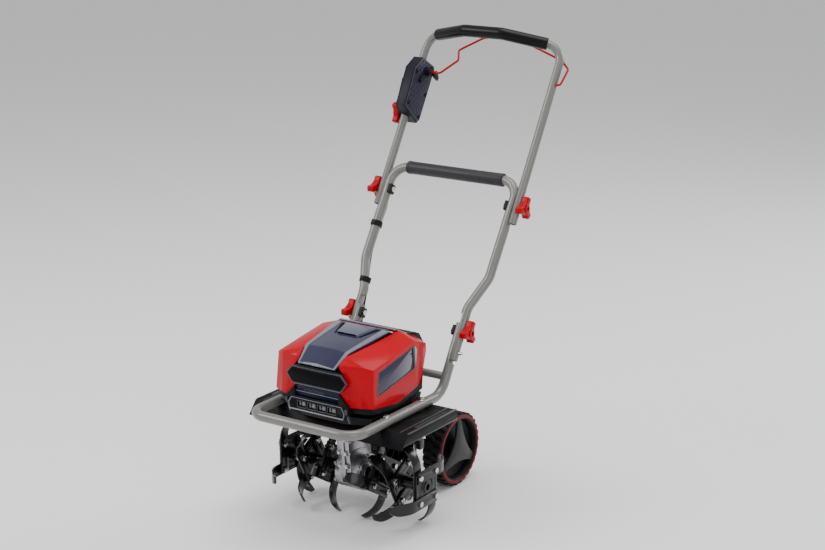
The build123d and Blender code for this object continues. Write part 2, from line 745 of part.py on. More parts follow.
TINE_HALF = TINE_T / 2
with BuildPart() as tine:
    with BuildSketch(Plane.XY.offset(-BOLT_HALF)):
        with BuildLine():
            Line((-TINE_HALF, -TINE_STRAIGHT), (-TINE_HALF, TINE_ROOT))
            Line((-TINE_HALF, TINE_ROOT), (TINE_HALF, TINE_ROOT))
            Line((TINE_HALF, TINE_ROOT), (TINE_HALF, -TINE_STRAIGHT))
            outer_bend = JernArc((TINE_HALF, -TINE_STRAIGHT), (0, -1), TINE_BEND_R + TINE_HALF, -TINE_BEND)
            inner_bend = JernArc((-TINE_HALF, -TINE_STRAIGHT), (0, -1), TINE_BEND_R - TINE_HALF, -TINE_BEND)
            Line(outer_bend @ 1, inner_bend @ 1)
        make_face()
    extrude(amount=TINE_W / 2, both=True)
    add(tine_outline.part, mode=Mode.INTERSECT)

BOLT_HEAD = 5.0
STACK = PLATE_T / 2 + TINE_T
with BuildPart() as plate_bolt:
    with BuildSketch(Plane.YZ.offset(STACK)):
        RegularPolygon(7, 6)
    extrude(amount=BOLT_HEAD)
    with BuildSketch(Plane.YZ.offset(-STACK - 8)):
        Circle(PIVOT_BOLT_R)
    extrude(amount=2 * STACK + 8)
    with BuildSketch(Plane.YZ.offset(-STACK - 6)):
        RegularPolygon(7, 6)
    extrude(amount=6)

ARM_STEP = (PLATE_T + TINE_T) / 2


def star(x, phase):
    """The plate, four tines and four bolts of one right-hand star, at x on the tine axle."""
    place = Pos(x, AXLE_Y, AXLE_Z) * Rot(phase, 0, 0)
    plates = [place * plate.part]
    tines = []
    bolts = []
    for quarter in range(4):
        step = ARM_STEP if quarter % 2 == 0 else -ARM_STEP
        tines.append(place * Rot(90 * quarter, 0, 0) * Pos(step, 0, 0) * tine.part)
        bolts.append(place * Rot(90 * quarter, 0, 0) * Pos(0, BOLT_HALF, BOLT_HALF) * plate_bolt.part)
    return plates, tines, bolts


def both_sides(parts):
    """Right-hand pieces with their mirror images."""
    return list(parts) + [part.mirror(Plane.YZ) for part in parts]


all_plates = []
all_bolts = []
for x, phase, name in zip(STAR_X, STAR_PHASE, ("inner", "middle", "outer")):
    plates, tines, bolts = star(x, phase)
    all_plates += both_sides(plates)
    all_bolts += both_sides(bolts)
    finish(Compound(children=both_sides(tines)), f"{name}_tines")
finish(Compound(children=all_plates), "star_plates")
finish(Compound(children=all_bolts), "tine_bolts")

# ---------------------------------------------------------------- wheels and their carrier
HALF_W = WHEEL_W / 2
RIM_R = 80.0
AXLE_BORE_R = WHEEL_AXLE_R + RUN_GAP
# half sections as (x from the wheel's middle, outward, and radius)
TYRE_SECTION = [(-HALF_W + 3, RIM_R), (HALF_W - 2, RIM_R), (HALF_W, 84), (HALF_W, 93), (HALF_W - 4, WHEEL_R)]
TYRE_SECTION += [(4 - HALF_W, WHEEL_R), (-HALF_W, 93), (-HALF_W, 84)]
RIM_SECTION = [(-HALF_W + 1, AXLE_BORE_R), (HALF_W - 6, AXLE_BORE_R), (HALF_W - 6, 22), (HALF_W - 12, 26)]
RIM_SECTION += [(HALF_W - 16, 72), (HALF_W - 3, 76), (HALF_W - 3, RIM_R), (-HALF_W + 4, RIM_R)]
RIM_SECTION += [(-HALF_W + 4, 76), (HALF_W - 20, 71), (HALF_W - 20, 18), (-HALF_W + 1, 15)]


def turned(hub, side, section):
    """A half section turned about the X axis through a wheel's hub."""
    with BuildPart() as body:
        with BuildSketch(Plane(origin=hub, x_dir=(side, 0, 0), z_dir=(0, -side, 0))):
            with BuildLine():
                Polyline(*section, close=True)
            make_face()
        revolve(axis=Axis(hub, (1, 0, 0)))
    return body.part


for side, name in zip(SIDES, ("left", "right")):
    hub = spot(side * WHEEL_X, WHEEL_Y, WHEEL_R)
    finish(turned(hub, side, TYRE_SECTION), f"tyre_{name}")
    finish(turned(hub, side, RIM_SECTION), f"rim_{name}")

ARM_IN_X = 48.0
ARM_T = 5.0
arm_corners = [(CARRIER_Y - 11, CARRIER_Z - 6), (CARRIER_Y + 2, CARRIER_Z + 11), (WHEEL_Y + 6, WHEEL_R + 9)]
arm_corners += [(WHEEL_Y + 8, WHEEL_R - 8), (WHEEL_Y - 6, WHEEL_R - 10)]
carrier_arms = [prism(side_plane(side * ARM_IN_X), arm_corners, side * ARM_T) for side in SIDES]
pivot_hole = straight_bar(spot(-120, CARRIER_Y, CARRIER_Z), spot(120, CARRIER_Y, CARRIER_Z), 6 + RUN_GAP)
axle_hole = straight_bar(spot(-120, WHEEL_Y, WHEEL_R), spot(120, WHEEL_Y, WHEEL_R), WHEEL_AXLE_R)
carrier_tie = straight_bar(spot(-ARM_IN_X, 225, 126), spot(ARM_IN_X, 225, 126), 7)
with BuildPart() as wheel_carrier:
    for arm in carrier_arms:
        add(arm)
    add(carrier_tie)
    add(pivot_hole, mode=Mode.SUBTRACT)
    add(axle_hole, mode=Mode.SUBTRACT)
finish(wheel_carrier.part, "wheel_carrier")

axle_collars = [
    straight_bar(spot(side * 112.3, WHEEL_Y, WHEEL_R), spot(side * 116, WHEEL_Y, WHEEL_R), 10)
    for side in SIDES
]
with BuildPart() as wheel_axle:
    with BuildSketch(side_plane(-118)):
        with Locations((WHEEL_Y, WHEEL_R)):
            Circle(WHEEL_AXLE_R)
    extrude(amount=236)
    for collar in axle_collars:
        add(collar)
finish(wheel_axle.part, "wheel_axle")

BRACKET_SIDE = [(74, DECK_Z - DECK_T), (100, DECK_Z - DECK_T), (108, 240), (148, 176), (148, 148)]
BRACKET_SIDE += [(124, 148), (121, 172), (92, 228)]
bracket_plates = [prism(side_plane(side * 42), BRACKET_SIDE, side * 5) for side in SIDES]
bracket_rod = straight_bar(spot(-106, CARRIER_Y, CARRIER_Z), spot(106, CARRIER_Y, CARRIER_Z), 6)
block_corners = rect((CARRIER_Y - 9, CARRIER_Z - 12), (CARRIER_Y + 9, CARRIER_Z + 12))
rod_blocks = [prism(side_plane(side * 94), block_corners, side * 14) for side in SIDES]
with BuildPart() as wheel_bracket:
    for piece in bracket_plates + rod_blocks:
        add(piece)
    add(bracket_rod)
finish(wheel_bracket.part, "wheel_bracket")

# ---------------------------------------------------------------- hood
HOOD_LOW = 318.0
# corners of the hood's right half as (x, y from the axle, z)
NOSE_LOW = (69, -161.6, 345)
NOSE_TOP = (69, -152, 441)
FRONT_LOW = (118, -147, 340)
SIDE_LOW = (146, -133, 343)
SIDE_TOP = (142, -130, 436)
RIDGE_FRONT = (121, -136, 441)
RIDGE_BACK = (139, 52, 462)
SIDE_BACK_LOW = (144, 52, 341)
BACK_LOW = (136, 114, 341)
BACK_RIDGE = (130, 114, 440)
TOP_FRONT = (67, -121, 462)
TOP_BACK = (84, 52, 482)
# each face by three of its corners, first the paired side faces and then the middle ones
HOOD_SIDE_FACES = [
    (SIDE_LOW, SIDE_TOP, RIDGE_BACK),
    (SIDE_BACK_LOW, BACK_LOW, RIDGE_BACK),
    (TOP_FRONT, RIDGE_FRONT, TOP_BACK),
    (RIDGE_FRONT, SIDE_TOP, RIDGE_BACK),
    (FRONT_LOW, SIDE_LOW, RIDGE_FRONT),
    (FRONT_LOW, RIDGE_FRONT, NOSE_TOP),
    (NOSE_TOP, RIDGE_FRONT, TOP_FRONT),
    (TOP_BACK, RIDGE_BACK, BACK_RIDGE),
]
HOOD_MIDDLE_FACES = [
    (NOSE_LOW, NOSE_TOP, (0, -161.6, 345)),
    ((0, -164, 433), (60, -164, 433), (0, -121, 462)),
    ((0, -121, 462), (60, -121, 462), (0, 52, 482)),
    ((0, 52, 482), (60, 52, 482), (0, 114, 452)),
]
HOOD_MIDDLE = (0, -20, 400)


def hood_block(inset):
    """The hood's closed outer shape, every face but the bottom drawn in by an inset."""
    block = prism(top_plane(HOOD_LOW - 4), rect((-160, -180), (160, 114 - inset)), 200)
    mirror_faces = [[(-x, y, z) for x, y, z in face] for face in HOOD_SIDE_FACES]
    for face in HOOD_SIDE_FACES + mirror_faces + HOOD_MIDDLE_FACES:
        first, second, third = [spot(*corner) for corner in face]
        outward = (second - first).cross(third - first).normalized()
        if outward.dot(first - spot(*HOOD_MIDDLE)) < 0:
            outward = -outward
        cutting = Plane(origin=first - outward * inset, z_dir=outward)
        block -= prism(cutting, rect((-600, -600), (600, 600)), 400)
    return block


HOOD_EDGE = [(-190, 280), (-190, 341), (-134, 341), (-30, 327), (80, 349), (116, 424), (130, 424)]
HOOD_EDGE += [(130, 280)]
WINDOW = [(-106, 424), (-117, 374), (-112, 366), (52, 393), (66, 438), (52, 450), (40, 449)]
COVER_SIDE = [(52, 468), (112, 462), (141, 452), (170, 410), (166, 392), (150, 366), (134, 300), (60, 300)]
COVER_X = 95.0
LID_EDGE = [(56.5, -176), (56.5, -163), (67, -119), (84, 28), (84, 46)]
PANEL_OPENING = [(96, 300), (92.5, 343.5), (67, 372.5), (77, 386.5)]
PANEL_OPENING += [(82, 400), (70, 424), (60, 434), (57, 450)]

hood_outer = hood_block(0)
hood_inner = hood_block(SHELL_T)
hood_edge = prism(side_plane(0), HOOD_EDGE, 200, both=True)
window_cut = prism(side_plane(0), WINDOW, 200, both=True)
cover_cut = prism(side_plane(0), COVER_SIDE, COVER_X + 0.5, both=True)
lid_cut = prism(top_plane(421), mirrored(LID_EDGE), 90)
panel_cut = prism(front_plane(-140), mirrored(PANEL_OPENING), 50)
pin_cut = straight_bar(spot(-92, LID_PIVOT_Y, LID_PIVOT_Z), spot(92, LID_PIVOT_Y, LID_PIVOT_Z), 2.5)
hood_shell = hood_outer - hood_inner - hood_edge
window_pair = hood_shell & window_cut

with BuildPart() as side_windows:
    add(window_pair)
finish(side_windows.part, "side_windows")

with BuildPart() as hood:
    add(hood_shell)
    for cut in (window_cut, cover_cut, lid_cut, panel_cut, pin_cut):
        add(cut, mode=Mode.SUBTRACT)
finish(hood.part, "hood")

# ---------------------------------------------------------------- lid
LID_T = 4.0
LID_STATIONS = ((-164, 55, 430), (-119, 65.5, 462), (27, 82, 482))
with BuildPart() as lid_panel:
    for y, half_x, top_z in LID_STATIONS:
        with BuildSketch(front_plane(y)):
            with BuildLine():
                Polyline(*mirrored([(half_x, top_z - LID_T), (half_x, top_z)]), close=True)
            make_face()
    loft(ruled=True)
SCOOP_SIDE = [(-38, 470), (-30, 482), (14, 489), (24, 480)]
scoop = prism(side_plane(0), SCOOP_SIDE, 33, both=True)
barrels = [
    straight_bar(
        spot(side * 40, LID_PIVOT_Y, LID_PIVOT_Z), spot(side * 74, LID_PIVOT_Y, LID_PIVOT_Z), 5
    )
    for side in SIDES
]
barrel_webs = [
    prism(side_plane(side * 40), rect((22, LID_PIVOT_Z - 2), (LID_PIVOT_Y, LID_PIVOT_Z + 4)), side * 34)
    for side in SIDES
]
pin_room = straight_bar(
    spot(-80, LID_PIVOT_Y, LID_PIVOT_Z), spot(80, LID_PIVOT_Y, LID_PIVOT_Z), 2.5 + RUN_GAP
)
with BuildPart() as lid:
    add(lid_panel.part)
    add(scoop)
    for piece in barrels + barrel_webs:
        add(piece)
    add(pin_room, mode=Mode.SUBTRACT)
finish(lid.part, "lid")

with BuildPart() as lid_hinge_pin:
    with BuildSketch(side_plane(-86)):
        with Locations((LID_PIVOT_Y, LID_PIVOT_Z)):
            Circle(2.5)
    extrude(amount=172)
finish(lid_hinge_pin.part, "lid_hinge_pin")

# ---------------------------------------------------------------- front panel, badge bar and grille
panel_corners = [(63.5, 347), (65.8, 371.5), (75.5, 386), (80.5, 400), (69, 422), (56, 424)]
with BuildPart() as front_panel:
    with BuildSketch(front_plane(-153)):
        with BuildLine():
            Polyline(*mirrored(panel_corners), close=True)
        make_face()
    extrude(amount=7)
finish(front_panel.part, "front_panel")

with BuildPart() as badge_bar:
    with BuildSketch(front_plane(-160.2)):
        with BuildLine():
            Polyline(*mirrored([(71, 380.5), (86, 401), (71, 418)]), close=True)
        make_face()
    extrude(amount=7)
    chamfer(badge_bar.faces().sort_by(Axis.Y)[0].edges(), 2)
finish(badge_bar.part, "badge_bar")

GRILLE_SLOTS = 4
GRILLE_SIDE = [(80, 309), (92, 322), (92, 343), (66.5, 371.5), (64.5, 346)]
LEG_SIDE = [(-170, 338), (-163, 338), (-147, 299), (-152, 299)]
grille_legs = [prism(side_plane(side * 87), LEG_SIDE, side * 4) for side in SIDES]
with BuildPart() as front_grille:
    with BuildSketch(front_plane(-148)):
        with BuildLine():
            Polyline(*mirrored(GRILLE_SIDE), close=True)
        make_face()
        with Locations((0, 326)):
            with GridLocations(30, 0, GRILLE_SLOTS, 1):
                RectangleRounded(24, 14, 3, mode=Mode.SUBTRACT)
    extrude(amount=16)
    for leg in grille_legs:
        add(leg)
finish(front_grille.part, "front_grille")

# ---------------------------------------------------------------- base shell, vent cover and latch
BASE_PLAN = [(72, -146), (114, -139), (141, -128), (143, 80), (126, 112)]
BASE_IN_PLAN = [(68, -142), (113, -135), (137, -125), (139, 77), (122, 108)]
FOOT_PLAN = [(64, -134), (122, -108), (126, 74), (112, 104)]
FOOT_IN_PLAN = [(60, -130), (118, -104), (122, 71), (108, 100)]
BASE_EDGE = [(-190, 280), (-190, 325), (-134, 325), (-30, 311), (84, 333), (120, 404), (130, 404)]
BASE_EDGE += [(130, 280)]
BASE_TOP = [(-190, 341), (-134, 341), (-30, 327), (80, 349), (116, 424), (130, 424), (130, 480), (-190, 480)]
skirt_outer = prism(top_plane(DECK_Z), mirrored(BASE_PLAN), 140)
skirt_inner = prism(top_plane(DECK_Z - 5), mirrored(BASE_IN_PLAN), 150)
skirt_low = prism(side_plane(0), BASE_EDGE, 200, both=True)
skirt_high = prism(side_plane(0), BASE_TOP, 200, both=True)
foot_outer = prism(top_plane(DECK_Z), mirrored(FOOT_PLAN), 60)
foot_inner = prism(top_plane(DECK_Z - 5), mirrored(FOOT_IN_PLAN), 75)
RIB_STEP = 14.0
rib_slots = [
    prism(top_plane(DECK_Z + 3), rect((side * 150, y), (side * 100, y + 5)), 18)
    for side in SIDES
    for y in [-98 + RIB_STEP * count for count in range(12)]
]
ledge = prism(top_plane(DECK_Z + 22), mirrored(BASE_IN_PLAN), 3) - prism(
    top_plane(DECK_Z + 20), mirrored(FOOT_IN_PLAN), 10
)
with BuildPart() as base_shell:
    add(skirt_outer)
    add(skirt_inner, mode=Mode.SUBTRACT)
    add(skirt_low, mode=Mode.SUBTRACT)
    add(foot_outer)
    add(foot_inner, mode=Mode.SUBTRACT)
    for slot in rib_slots:
        add(slot, mode=Mode.SUBTRACT)
    add(ledge)
    add(skirt_high, mode=Mode.SUBTRACT)
    add(cover_cut, mode=Mode.SUBTRACT)
finish(base_shell.part, "base_shell")

COVER_IN_SIDE = [(48, 464), (110, 458), (139, 449), (166, 409), (162, 393), (146, 366), (131, 304)]
COVER_IN_SIDE += [(48, 304)]
cover_block = prism(side_plane(0), COVER_SIDE, COVER_X, both=True)
cover_hollow = prism(side_plane(0), COVER_IN_SIDE, COVER_X - SHELL_T, both=True)
vent_slots = [
    prism(side_plane(x), [(76, 475), (134, 460), (134, 449), (76, 460)], 6)
    for x in [-82 + 14 * count for count in range(12)]
]
with BuildPart() as vent_cover:
    add(cover_block)
    add(cover_hollow, mode=Mode.SUBTRACT)
    for slot in vent_slots:
        add(slot, mode=Mode.SUBTRACT)
finish(vent_cover.part, "vent_cover")

with BuildPart() as hood_latch:
    with BuildSketch(top_plane(DECK_Z + 0.5)):
        with Locations((135, 72)):
            Circle(7)
    extrude(amount=20)
    with BuildSketch(top_plane(DECK_Z + 12)):
        with BuildLine():
            Polyline((130, 68), (130, 50), (136, 46), (142, 52), (141, 72), close=True)
        make_face()
    extrude(amount=8)
finish(hood_latch.part, "hood_latch")

# ---------------------------------------------------------------- batteries and electronics
TRAY_Z = 380.0
tray_outer = prism(top_plane(TRAY_Z), rect((-64, -112), (64, 24)), 14)
tray_inner = prism(top_plane(TRAY_Z + 3), rect((-61, -109), (61, 21)), 20)
tray_legs = [
    prism(top_plane(DECK_Z), rect((x - 4, y - 4), (x + 4, y + 4)), TRAY_Z - DECK_Z)
    for x in (-57, 57)
    for y in (-100, 16)
]
with BuildPart() as battery_tray:
    add(tray_outer)
    add(tray_inner, mode=Mode.SUBTRACT)
    for leg in tray_legs:
        add(leg)
finish(battery_tray.part, "battery_tray")

pack_blocks = [
    prism(side_plane(side * 2), [(-106, 383.5), (18, 383.5), (18, 462), (-60, 455), (-106, 446)], side * 54)
    for side in SIDES
]
with BuildPart() as battery_packs:
    for block in pack_blocks:
        add(block)
finish(battery_packs.part, "battery_packs")

with BuildPart() as control_board:
    with BuildSketch(side_plane(-50)):
        with Locations((80, 340)):
            Rectangle(60, 50)
    extrude(amount=2)
    with BuildSketch(side_plane(-48)):
        with Locations((80, 340)):
            with GridLocations(18, 16, 3, 3):
                Rectangle(10, 9)
    extrude(amount=6)
    with BuildSketch(side_plane(-50)):
        with Locations((80, 309.6)):
            Rectangle(20, 10.8)
    extrude(amount=2)
finish(control_board.part, "control_board")
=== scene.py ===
"""Looks of the battery tiller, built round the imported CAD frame. Metres, +Z up, -Y forward."""

import json
from math import copysign, cos, pi, radians, sin, sqrt

import bmesh
import bpy
from mathutils import Matrix, Vector


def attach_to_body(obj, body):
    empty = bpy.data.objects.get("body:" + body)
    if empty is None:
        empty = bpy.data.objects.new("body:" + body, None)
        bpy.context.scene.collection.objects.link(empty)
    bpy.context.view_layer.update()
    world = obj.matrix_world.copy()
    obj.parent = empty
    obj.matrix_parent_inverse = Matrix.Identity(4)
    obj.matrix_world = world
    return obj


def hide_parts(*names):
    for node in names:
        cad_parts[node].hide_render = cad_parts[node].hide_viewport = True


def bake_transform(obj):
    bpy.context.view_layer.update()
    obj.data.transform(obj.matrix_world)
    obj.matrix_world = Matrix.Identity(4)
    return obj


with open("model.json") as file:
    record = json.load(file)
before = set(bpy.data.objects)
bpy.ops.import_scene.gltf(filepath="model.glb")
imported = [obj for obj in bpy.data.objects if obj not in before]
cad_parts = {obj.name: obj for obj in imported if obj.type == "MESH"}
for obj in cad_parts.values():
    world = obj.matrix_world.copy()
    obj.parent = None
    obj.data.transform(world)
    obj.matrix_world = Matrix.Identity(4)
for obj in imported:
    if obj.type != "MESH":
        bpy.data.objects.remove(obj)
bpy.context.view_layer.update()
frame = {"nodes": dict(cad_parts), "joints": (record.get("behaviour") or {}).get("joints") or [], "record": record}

MM = 0.001
JOINTS = {joint["name"]: joint for joint in frame["joints"]}
AXLE_Y = JOINTS["tine_spin"]["pos_m"][1]
AXLE_HIGH = 114
DECK_HIGH = 287.3
LEAN = radians(30)
WELD_GAP = 0.02 * MM
UP = Vector((0, sin(LEAN), cos(LEAN)))
BACK = Vector((0, cos(LEAN), -sin(LEAN)))
SIDES = (-1, 1)
NAMES = {-1: "left", 1: "right"}


def spot(x, y, z):
    """A point in metres from millimetres, its y counted from the tine axle."""
    return Vector((x * MM, AXLE_Y + y * MM, z * MM))


def lean(x, s, n):
    """A point in metres from x, the distance s up the handle plane and n behind it, in mm."""
    return Vector((x * MM, AXLE_Y, 0)) + UP * (s * MM) + BACK * (n * MM)


# ---------------------------------------------------------------- camera, stage and light
def make_camera():
    """The camera, ahead of the machine, above it and to its right."""
    place = spot(2410.6, -3349.0, 1750.2)
    data = bpy.data.cameras.new("camera")
    data.sensor_width = 36
    data.lens = 76.62
    data.clip_end = 60
    camera = bpy.data.objects.new("camera", data)
    bpy.context.scene.collection.objects.link(camera)
    azimuth = radians(33.805)
    pitch = radians(15.33)
    across = Vector((cos(azimuth), sin(azimuth), 0))
    behind = Vector((sin(azimuth) * cos(pitch), -cos(azimuth) * cos(pitch), sin(pitch)))
    turn = Matrix((across, behind.cross(across), behind)).transposed()
    camera.matrix_world = Matrix.Translation(place) @ turn.to_4x4()
    bpy.context.scene.camera = camera


def make_light(name, place, target, size, power):
    """A soft square lamp aimed at a point."""
    data = bpy.data.lights.new(name, "AREA")
    data.shape = "SQUARE"
    data.size = size
    data.energy = power
    lamp = bpy.data.objects.new(name, data)
    bpy.context.scene.collection.objects.link(lamp)
    lamp.location = place
    lamp.rotation_euler = (Vector(place) - Vector(target)).to_track_quat("Z", "Y").to_euler()


def make_stage():
    """A flat pale floor, four soft lamps and a white world."""
    world = bpy.data.worlds.new("studio")
    bpy.context.scene.world = world
    world.use_nodes = True
    backdrop = world.node_tree.nodes["Background"]
    backdrop.inputs["Color"].default_value = (1.0, 1.0, 1.0, 1)
    backdrop.inputs["Strength"].default_value = 0.66
    middle = (0, 0, 0.45)
    make_light("key", (-2.6, -2.4, 3.4), middle, 2.0, 112)
    make_light("fill", (3.4, -2.2, 1.8), middle, 2.2, 42)
    make_light("top", (0.3, 0.4, 4.0), middle, 2.2, 90)
    make_light("rim", (1.6, 3.4, 2.2), middle, 1.6, 60)
    mesh = bpy.data.meshes.new("floor")
    reach = 14.0
    corners = [(-reach, -reach, 0), (reach, -reach, 0), (reach, reach, 0), (-reach, reach, 0)]
    mesh.from_pydata(corners, [], [(0, 1, 2, 3)])
    floor = bpy.data.objects.new("floor", mesh)
    bpy.context.scene.collection.objects.link(floor)
    pale = bpy.data.materials.new("floor_pale")
    pale.use_nodes = True
    shader = pale.node_tree.nodes["Principled BSDF"]
    shader.inputs["Base Color"].default_value = (0.88, 0.88, 0.88, 1)
    shader.inputs["Roughness"].default_value = 0.55
    mesh.materials.append(pale)


# ---------------------------------------------------------------- materials
def node_of(tree, kind, **values):
    """A new shader node with its named inputs set."""
    made = tree.nodes.new(kind)
    for name, value in values.items():
        made.inputs[name.replace("_", " ")].default_value = value
    return made


def surface(name, colour, rough, metal=0.0, coat=0.0, coat_rough=0.05, grain=600.0, bump=0.02, shade=0.12,
            rough_swing=0.12, patch=25.0, second=None, shine=0.5):
    """A procedural surface: patchy colour, a roughness that varies and a fine grain."""
    made = bpy.data.materials.new(name)
    made.use_nodes = True
    tree = made.node_tree
    shader = tree.nodes["Principled BSDF"]
    shader.inputs["Metallic"].default_value = metal
    shader.inputs["Specular IOR Level"].default_value = shine
    shader.inputs["Coat Weight"].default_value = coat
    shader.inputs["Coat Roughness"].default_value = coat_rough
    place = tree.nodes.new("ShaderNodeTexCoord")
    patches = node_of(tree, "ShaderNodeTexNoise", Scale=patch, Detail=5.0, Roughness=0.6)
    tree.links.new(place.outputs["Object"], patches.inputs["Vector"])
    tint = tree.nodes.new("ShaderNodeMix")
    tint.data_type = "RGBA"
    darker = second or [channel * (1 - shade) for channel in colour]
    tint.inputs["A"].default_value = (*darker, 1)
    tint.inputs["B"].default_value = (*colour, 1)
    tree.links.new(patches.outputs["Fac"], tint.inputs["Factor"])
    tree.links.new(tint.outputs["Result"], shader.inputs["Base Color"])
    gloss = node_of(tree, "ShaderNodeMapRange")
    gloss.inputs["To Min"].default_value = max(rough - rough_swing, 0.02)
    gloss.inputs["To Max"].default_value = rough + rough_swing
    tree.links.new(patches.outputs["Fac"], gloss.inputs["Value"])
    tree.links.new(gloss.outputs["Result"], shader.inputs["Roughness"])
    fine = node_of(tree, "ShaderNodeTexNoise", Scale=grain, Detail=3.0)
    tree.links.new(place.outputs["Object"], fine.inputs["Vector"])
    relief = node_of(tree, "ShaderNodeBump", Strength=1.0, Distance=bump * MM)
    tree.links.new(fine.outputs["Fac"], relief.inputs["Height"])
    tree.links.new(relief.outputs["Normal"], shader.inputs["Normal"])
    return made


def add_hatch(made, pitch, depth, tilt):
    """Cut a diamond hatch into a surface, in the plane of the handle's side."""
    tree = made.node_tree
    shader = tree.nodes["Principled BSDF"]
    place = tree.nodes.new("ShaderNodeTexCoord")
    turned = tree.nodes.new("ShaderNodeMapping")
    turned.inputs["Rotation"].default_value = (tilt, 0, 0)
    tree.links.new(place.outputs["Object"], turned.inputs["Vector"])
    parts = tree.nodes.new("ShaderNodeSeparateXYZ")
    tree.links.new(turned.outputs["Vector"], parts.inputs["Vector"])
    waves = []
    for sign in (1.0, -1.0):
        slope = tree.nodes.new("ShaderNodeMath")
        slope.operation = "MULTIPLY_ADD"
        slope.inputs[1].default_value = 0.6 * sign
        tree.links.new(parts.outputs["Z"], slope.inputs[0])
        tree.links.new(parts.outputs["Y"], slope.inputs[2])
        wave = tree.nodes.new("ShaderNodeMath")
        wave.operation = "PINGPONG"
        wave.inputs[1].default_value = pitch
        tree.links.new(slope.outputs["Value"], wave.inputs[0])
        waves.append(wave)
    lower = tree.nodes.new("ShaderNodeMath")
    lower.operation = "MINIMUM"
    tree.links.new(waves[0].outputs["Value"], lower.inputs[0])
    tree.links.new(waves[1].outputs["Value"], lower.inputs[1])
    groove = node_of(tree, "ShaderNodeMapRange")
    groove.inputs["From Max"].default_value = pitch * 0.3
    tree.links.new(lower.outputs["Value"], groove.inputs["Value"])
    relief = node_of(tree, "ShaderNodeBump", Strength=1.0, Distance=depth)
    tree.links.new(groove.outputs["Result"], relief.inputs["Height"])
    tree.links.new(relief.outputs["Normal"], shader.inputs["Normal"])
    return made


GREY_PAINT = surface("grey_paint", (0.152, 0.149, 0.140), 0.34, coat=0.30, coat_rough=0.16, grain=900,
                     bump=0.02)
BLACK_PAINT = surface("black_paint", (0.007, 0.007, 0.009), 0.30, coat=0.12, coat_rough=0.12, grain=500,
                      bump=0.03, shine=0.35)
DECK_PAINT = surface("deck_paint", (0.004, 0.004, 0.005), 0.44, grain=500, bump=0.03, shine=0.10)
# Dark grey, lighter than the black deck paint of the same sheet: painted sheen standing in for the reflections
# along the wing beads and ribs.
RIB_SHEEN = surface("trim_painted_sheen", (0.045, 0.045, 0.050), 0.34, coat=0.15, coat_rough=0.15, grain=500,
                     bump=0.01)
TINE_PAINT = surface("tine_paint", (0.005, 0.005, 0.006), 0.24, coat=0.16, coat_rough=0.10, grain=260,
                     bump=0.04, shine=0.26)
RED = surface("red_gloss", (0.44, 0.0003, 0.0090), 0.22, coat=0.04, coat_rough=0.04, grain=1400, bump=0.004,
              shade=0.05, shine=0.08, rough_swing=0.04)
RED_SATIN = surface("red_satin", (0.38, 0.0003, 0.0080), 0.30, grain=1400, bump=0.008, shade=0.06,
                    shine=0.10)
BLACK_PLASTIC = surface("black_plastic", (0.005, 0.005, 0.006), 0.46, grain=1600, bump=0.03, shine=0.16)
BADGE_BLACK = surface("badge_black", (0.003, 0.003, 0.004), 0.42, grain=1600, bump=0.02, shine=0.07)
GREY_PLASTIC = surface("grey_plastic", (0.052, 0.053, 0.057), 0.42, grain=1600, bump=0.03, shine=0.4)
PALE_PLASTIC = surface("pale_plastic", (0.30, 0.31, 0.32), 0.36, coat=0.2, grain=1600, bump=0.02)
NAVY_PLASTIC = surface("navy_plastic", (0.007, 0.007, 0.014), 0.42, grain=1600, bump=0.03, shine=0.14)
NAVY_HATCH = add_hatch(surface("navy_hatch", (0.020, 0.018, 0.036), 0.40, shine=0.14), 0.0075, 0.0012, LEAN)
NAVY_GLOSS = surface("navy_gloss", (0.004, 0.006, 0.022), 0.22, coat=0.12, coat_rough=0.05, grain=400,
                     bump=0.004, shine=0.12)
SMOKE = surface("smoked_lid", (0.036, 0.038, 0.082), 0.16, coat=0.35, coat_rough=0.04, grain=300,
                bump=0.003, patch=9.0, second=(0.010, 0.011, 0.030), rough_swing=0.04, shine=0.25)
LID_RAIL = surface("lid_rail", (0.150, 0.160, 0.200), 0.26, coat=0.3, grain=900, bump=0.01)
LID_TOP = surface("lid_top", (0.075, 0.082, 0.130), 0.22, coat=0.4, grain=700, bump=0.008)
GLASS = surface("window_glass", (0.022, 0.022, 0.055), 0.10, coat=0.35, coat_rough=0.03, grain=200,
                bump=0.002, patch=14.0, second=(0.006, 0.007, 0.020), rough_swing=0.02, shine=0.4)
FOAM = surface("grip_foam", (0.003, 0.003, 0.004), 0.38, coat=0.10, coat_rough=0.18, grain=800, bump=0.04,
               shine=0.12)
GRIP_GREY = surface("grip_grey", (0.026, 0.024, 0.028), 0.46, grain=800, bump=0.04, shine=0.25)
CASTING = surface("casting", (0.44, 0.44, 0.46), 0.34, metal=1.0, grain=380, bump=0.10, shade=0.4)
ZINC = surface("zinc", (0.60, 0.60, 0.61), 0.24, metal=1.0, grain=500, bump=0.01, shade=0.15)
STEEL = surface("steel", (0.45, 0.45, 0.47), 0.30, metal=1.0, grain=700, bump=0.01)
RUBBER = surface("tyre_rubber", (0.005, 0.005, 0.006), 0.56, grain=700, bump=0.06, shade=0.3, shine=0.18)
RIM_BLACK = surface("rim_black", (0.003, 0.003, 0.004), 0.40, grain=1400, bump=0.02, shine=0.12)
CAP_GREY = surface("cap_grey", (0.016, 0.016, 0.018), 0.42, grain=1400, bump=0.02, shine=0.22)
RING_RED = surface("ring_red", (0.13, 0.001, 0.008), 0.40, grain=1200, bump=0.01, shine=0.15)
RED_WIRE = surface("red_wire", (0.34, 0.0008, 0.002), 0.32, grain=1200, bump=0.01, shine=0.15)
CABLE = surface("cable_black", (0.004, 0.004, 0.005), 0.48, grain=900, bump=0.03, shine=0.2)
BOARD = surface("board_green", (0.02, 0.12, 0.05), 0.35, coat=0.3, grain=900, bump=0.02)
# Near-black painted shade, laid over slots, grooves, screw wells and the scoop mouth where the real part is a
# hollow in shade.
RECESS_SHADE = surface("painted_recess_shade", (0.003, 0.003, 0.004), 0.6, grain=800, bump=0.02, shine=0.1)
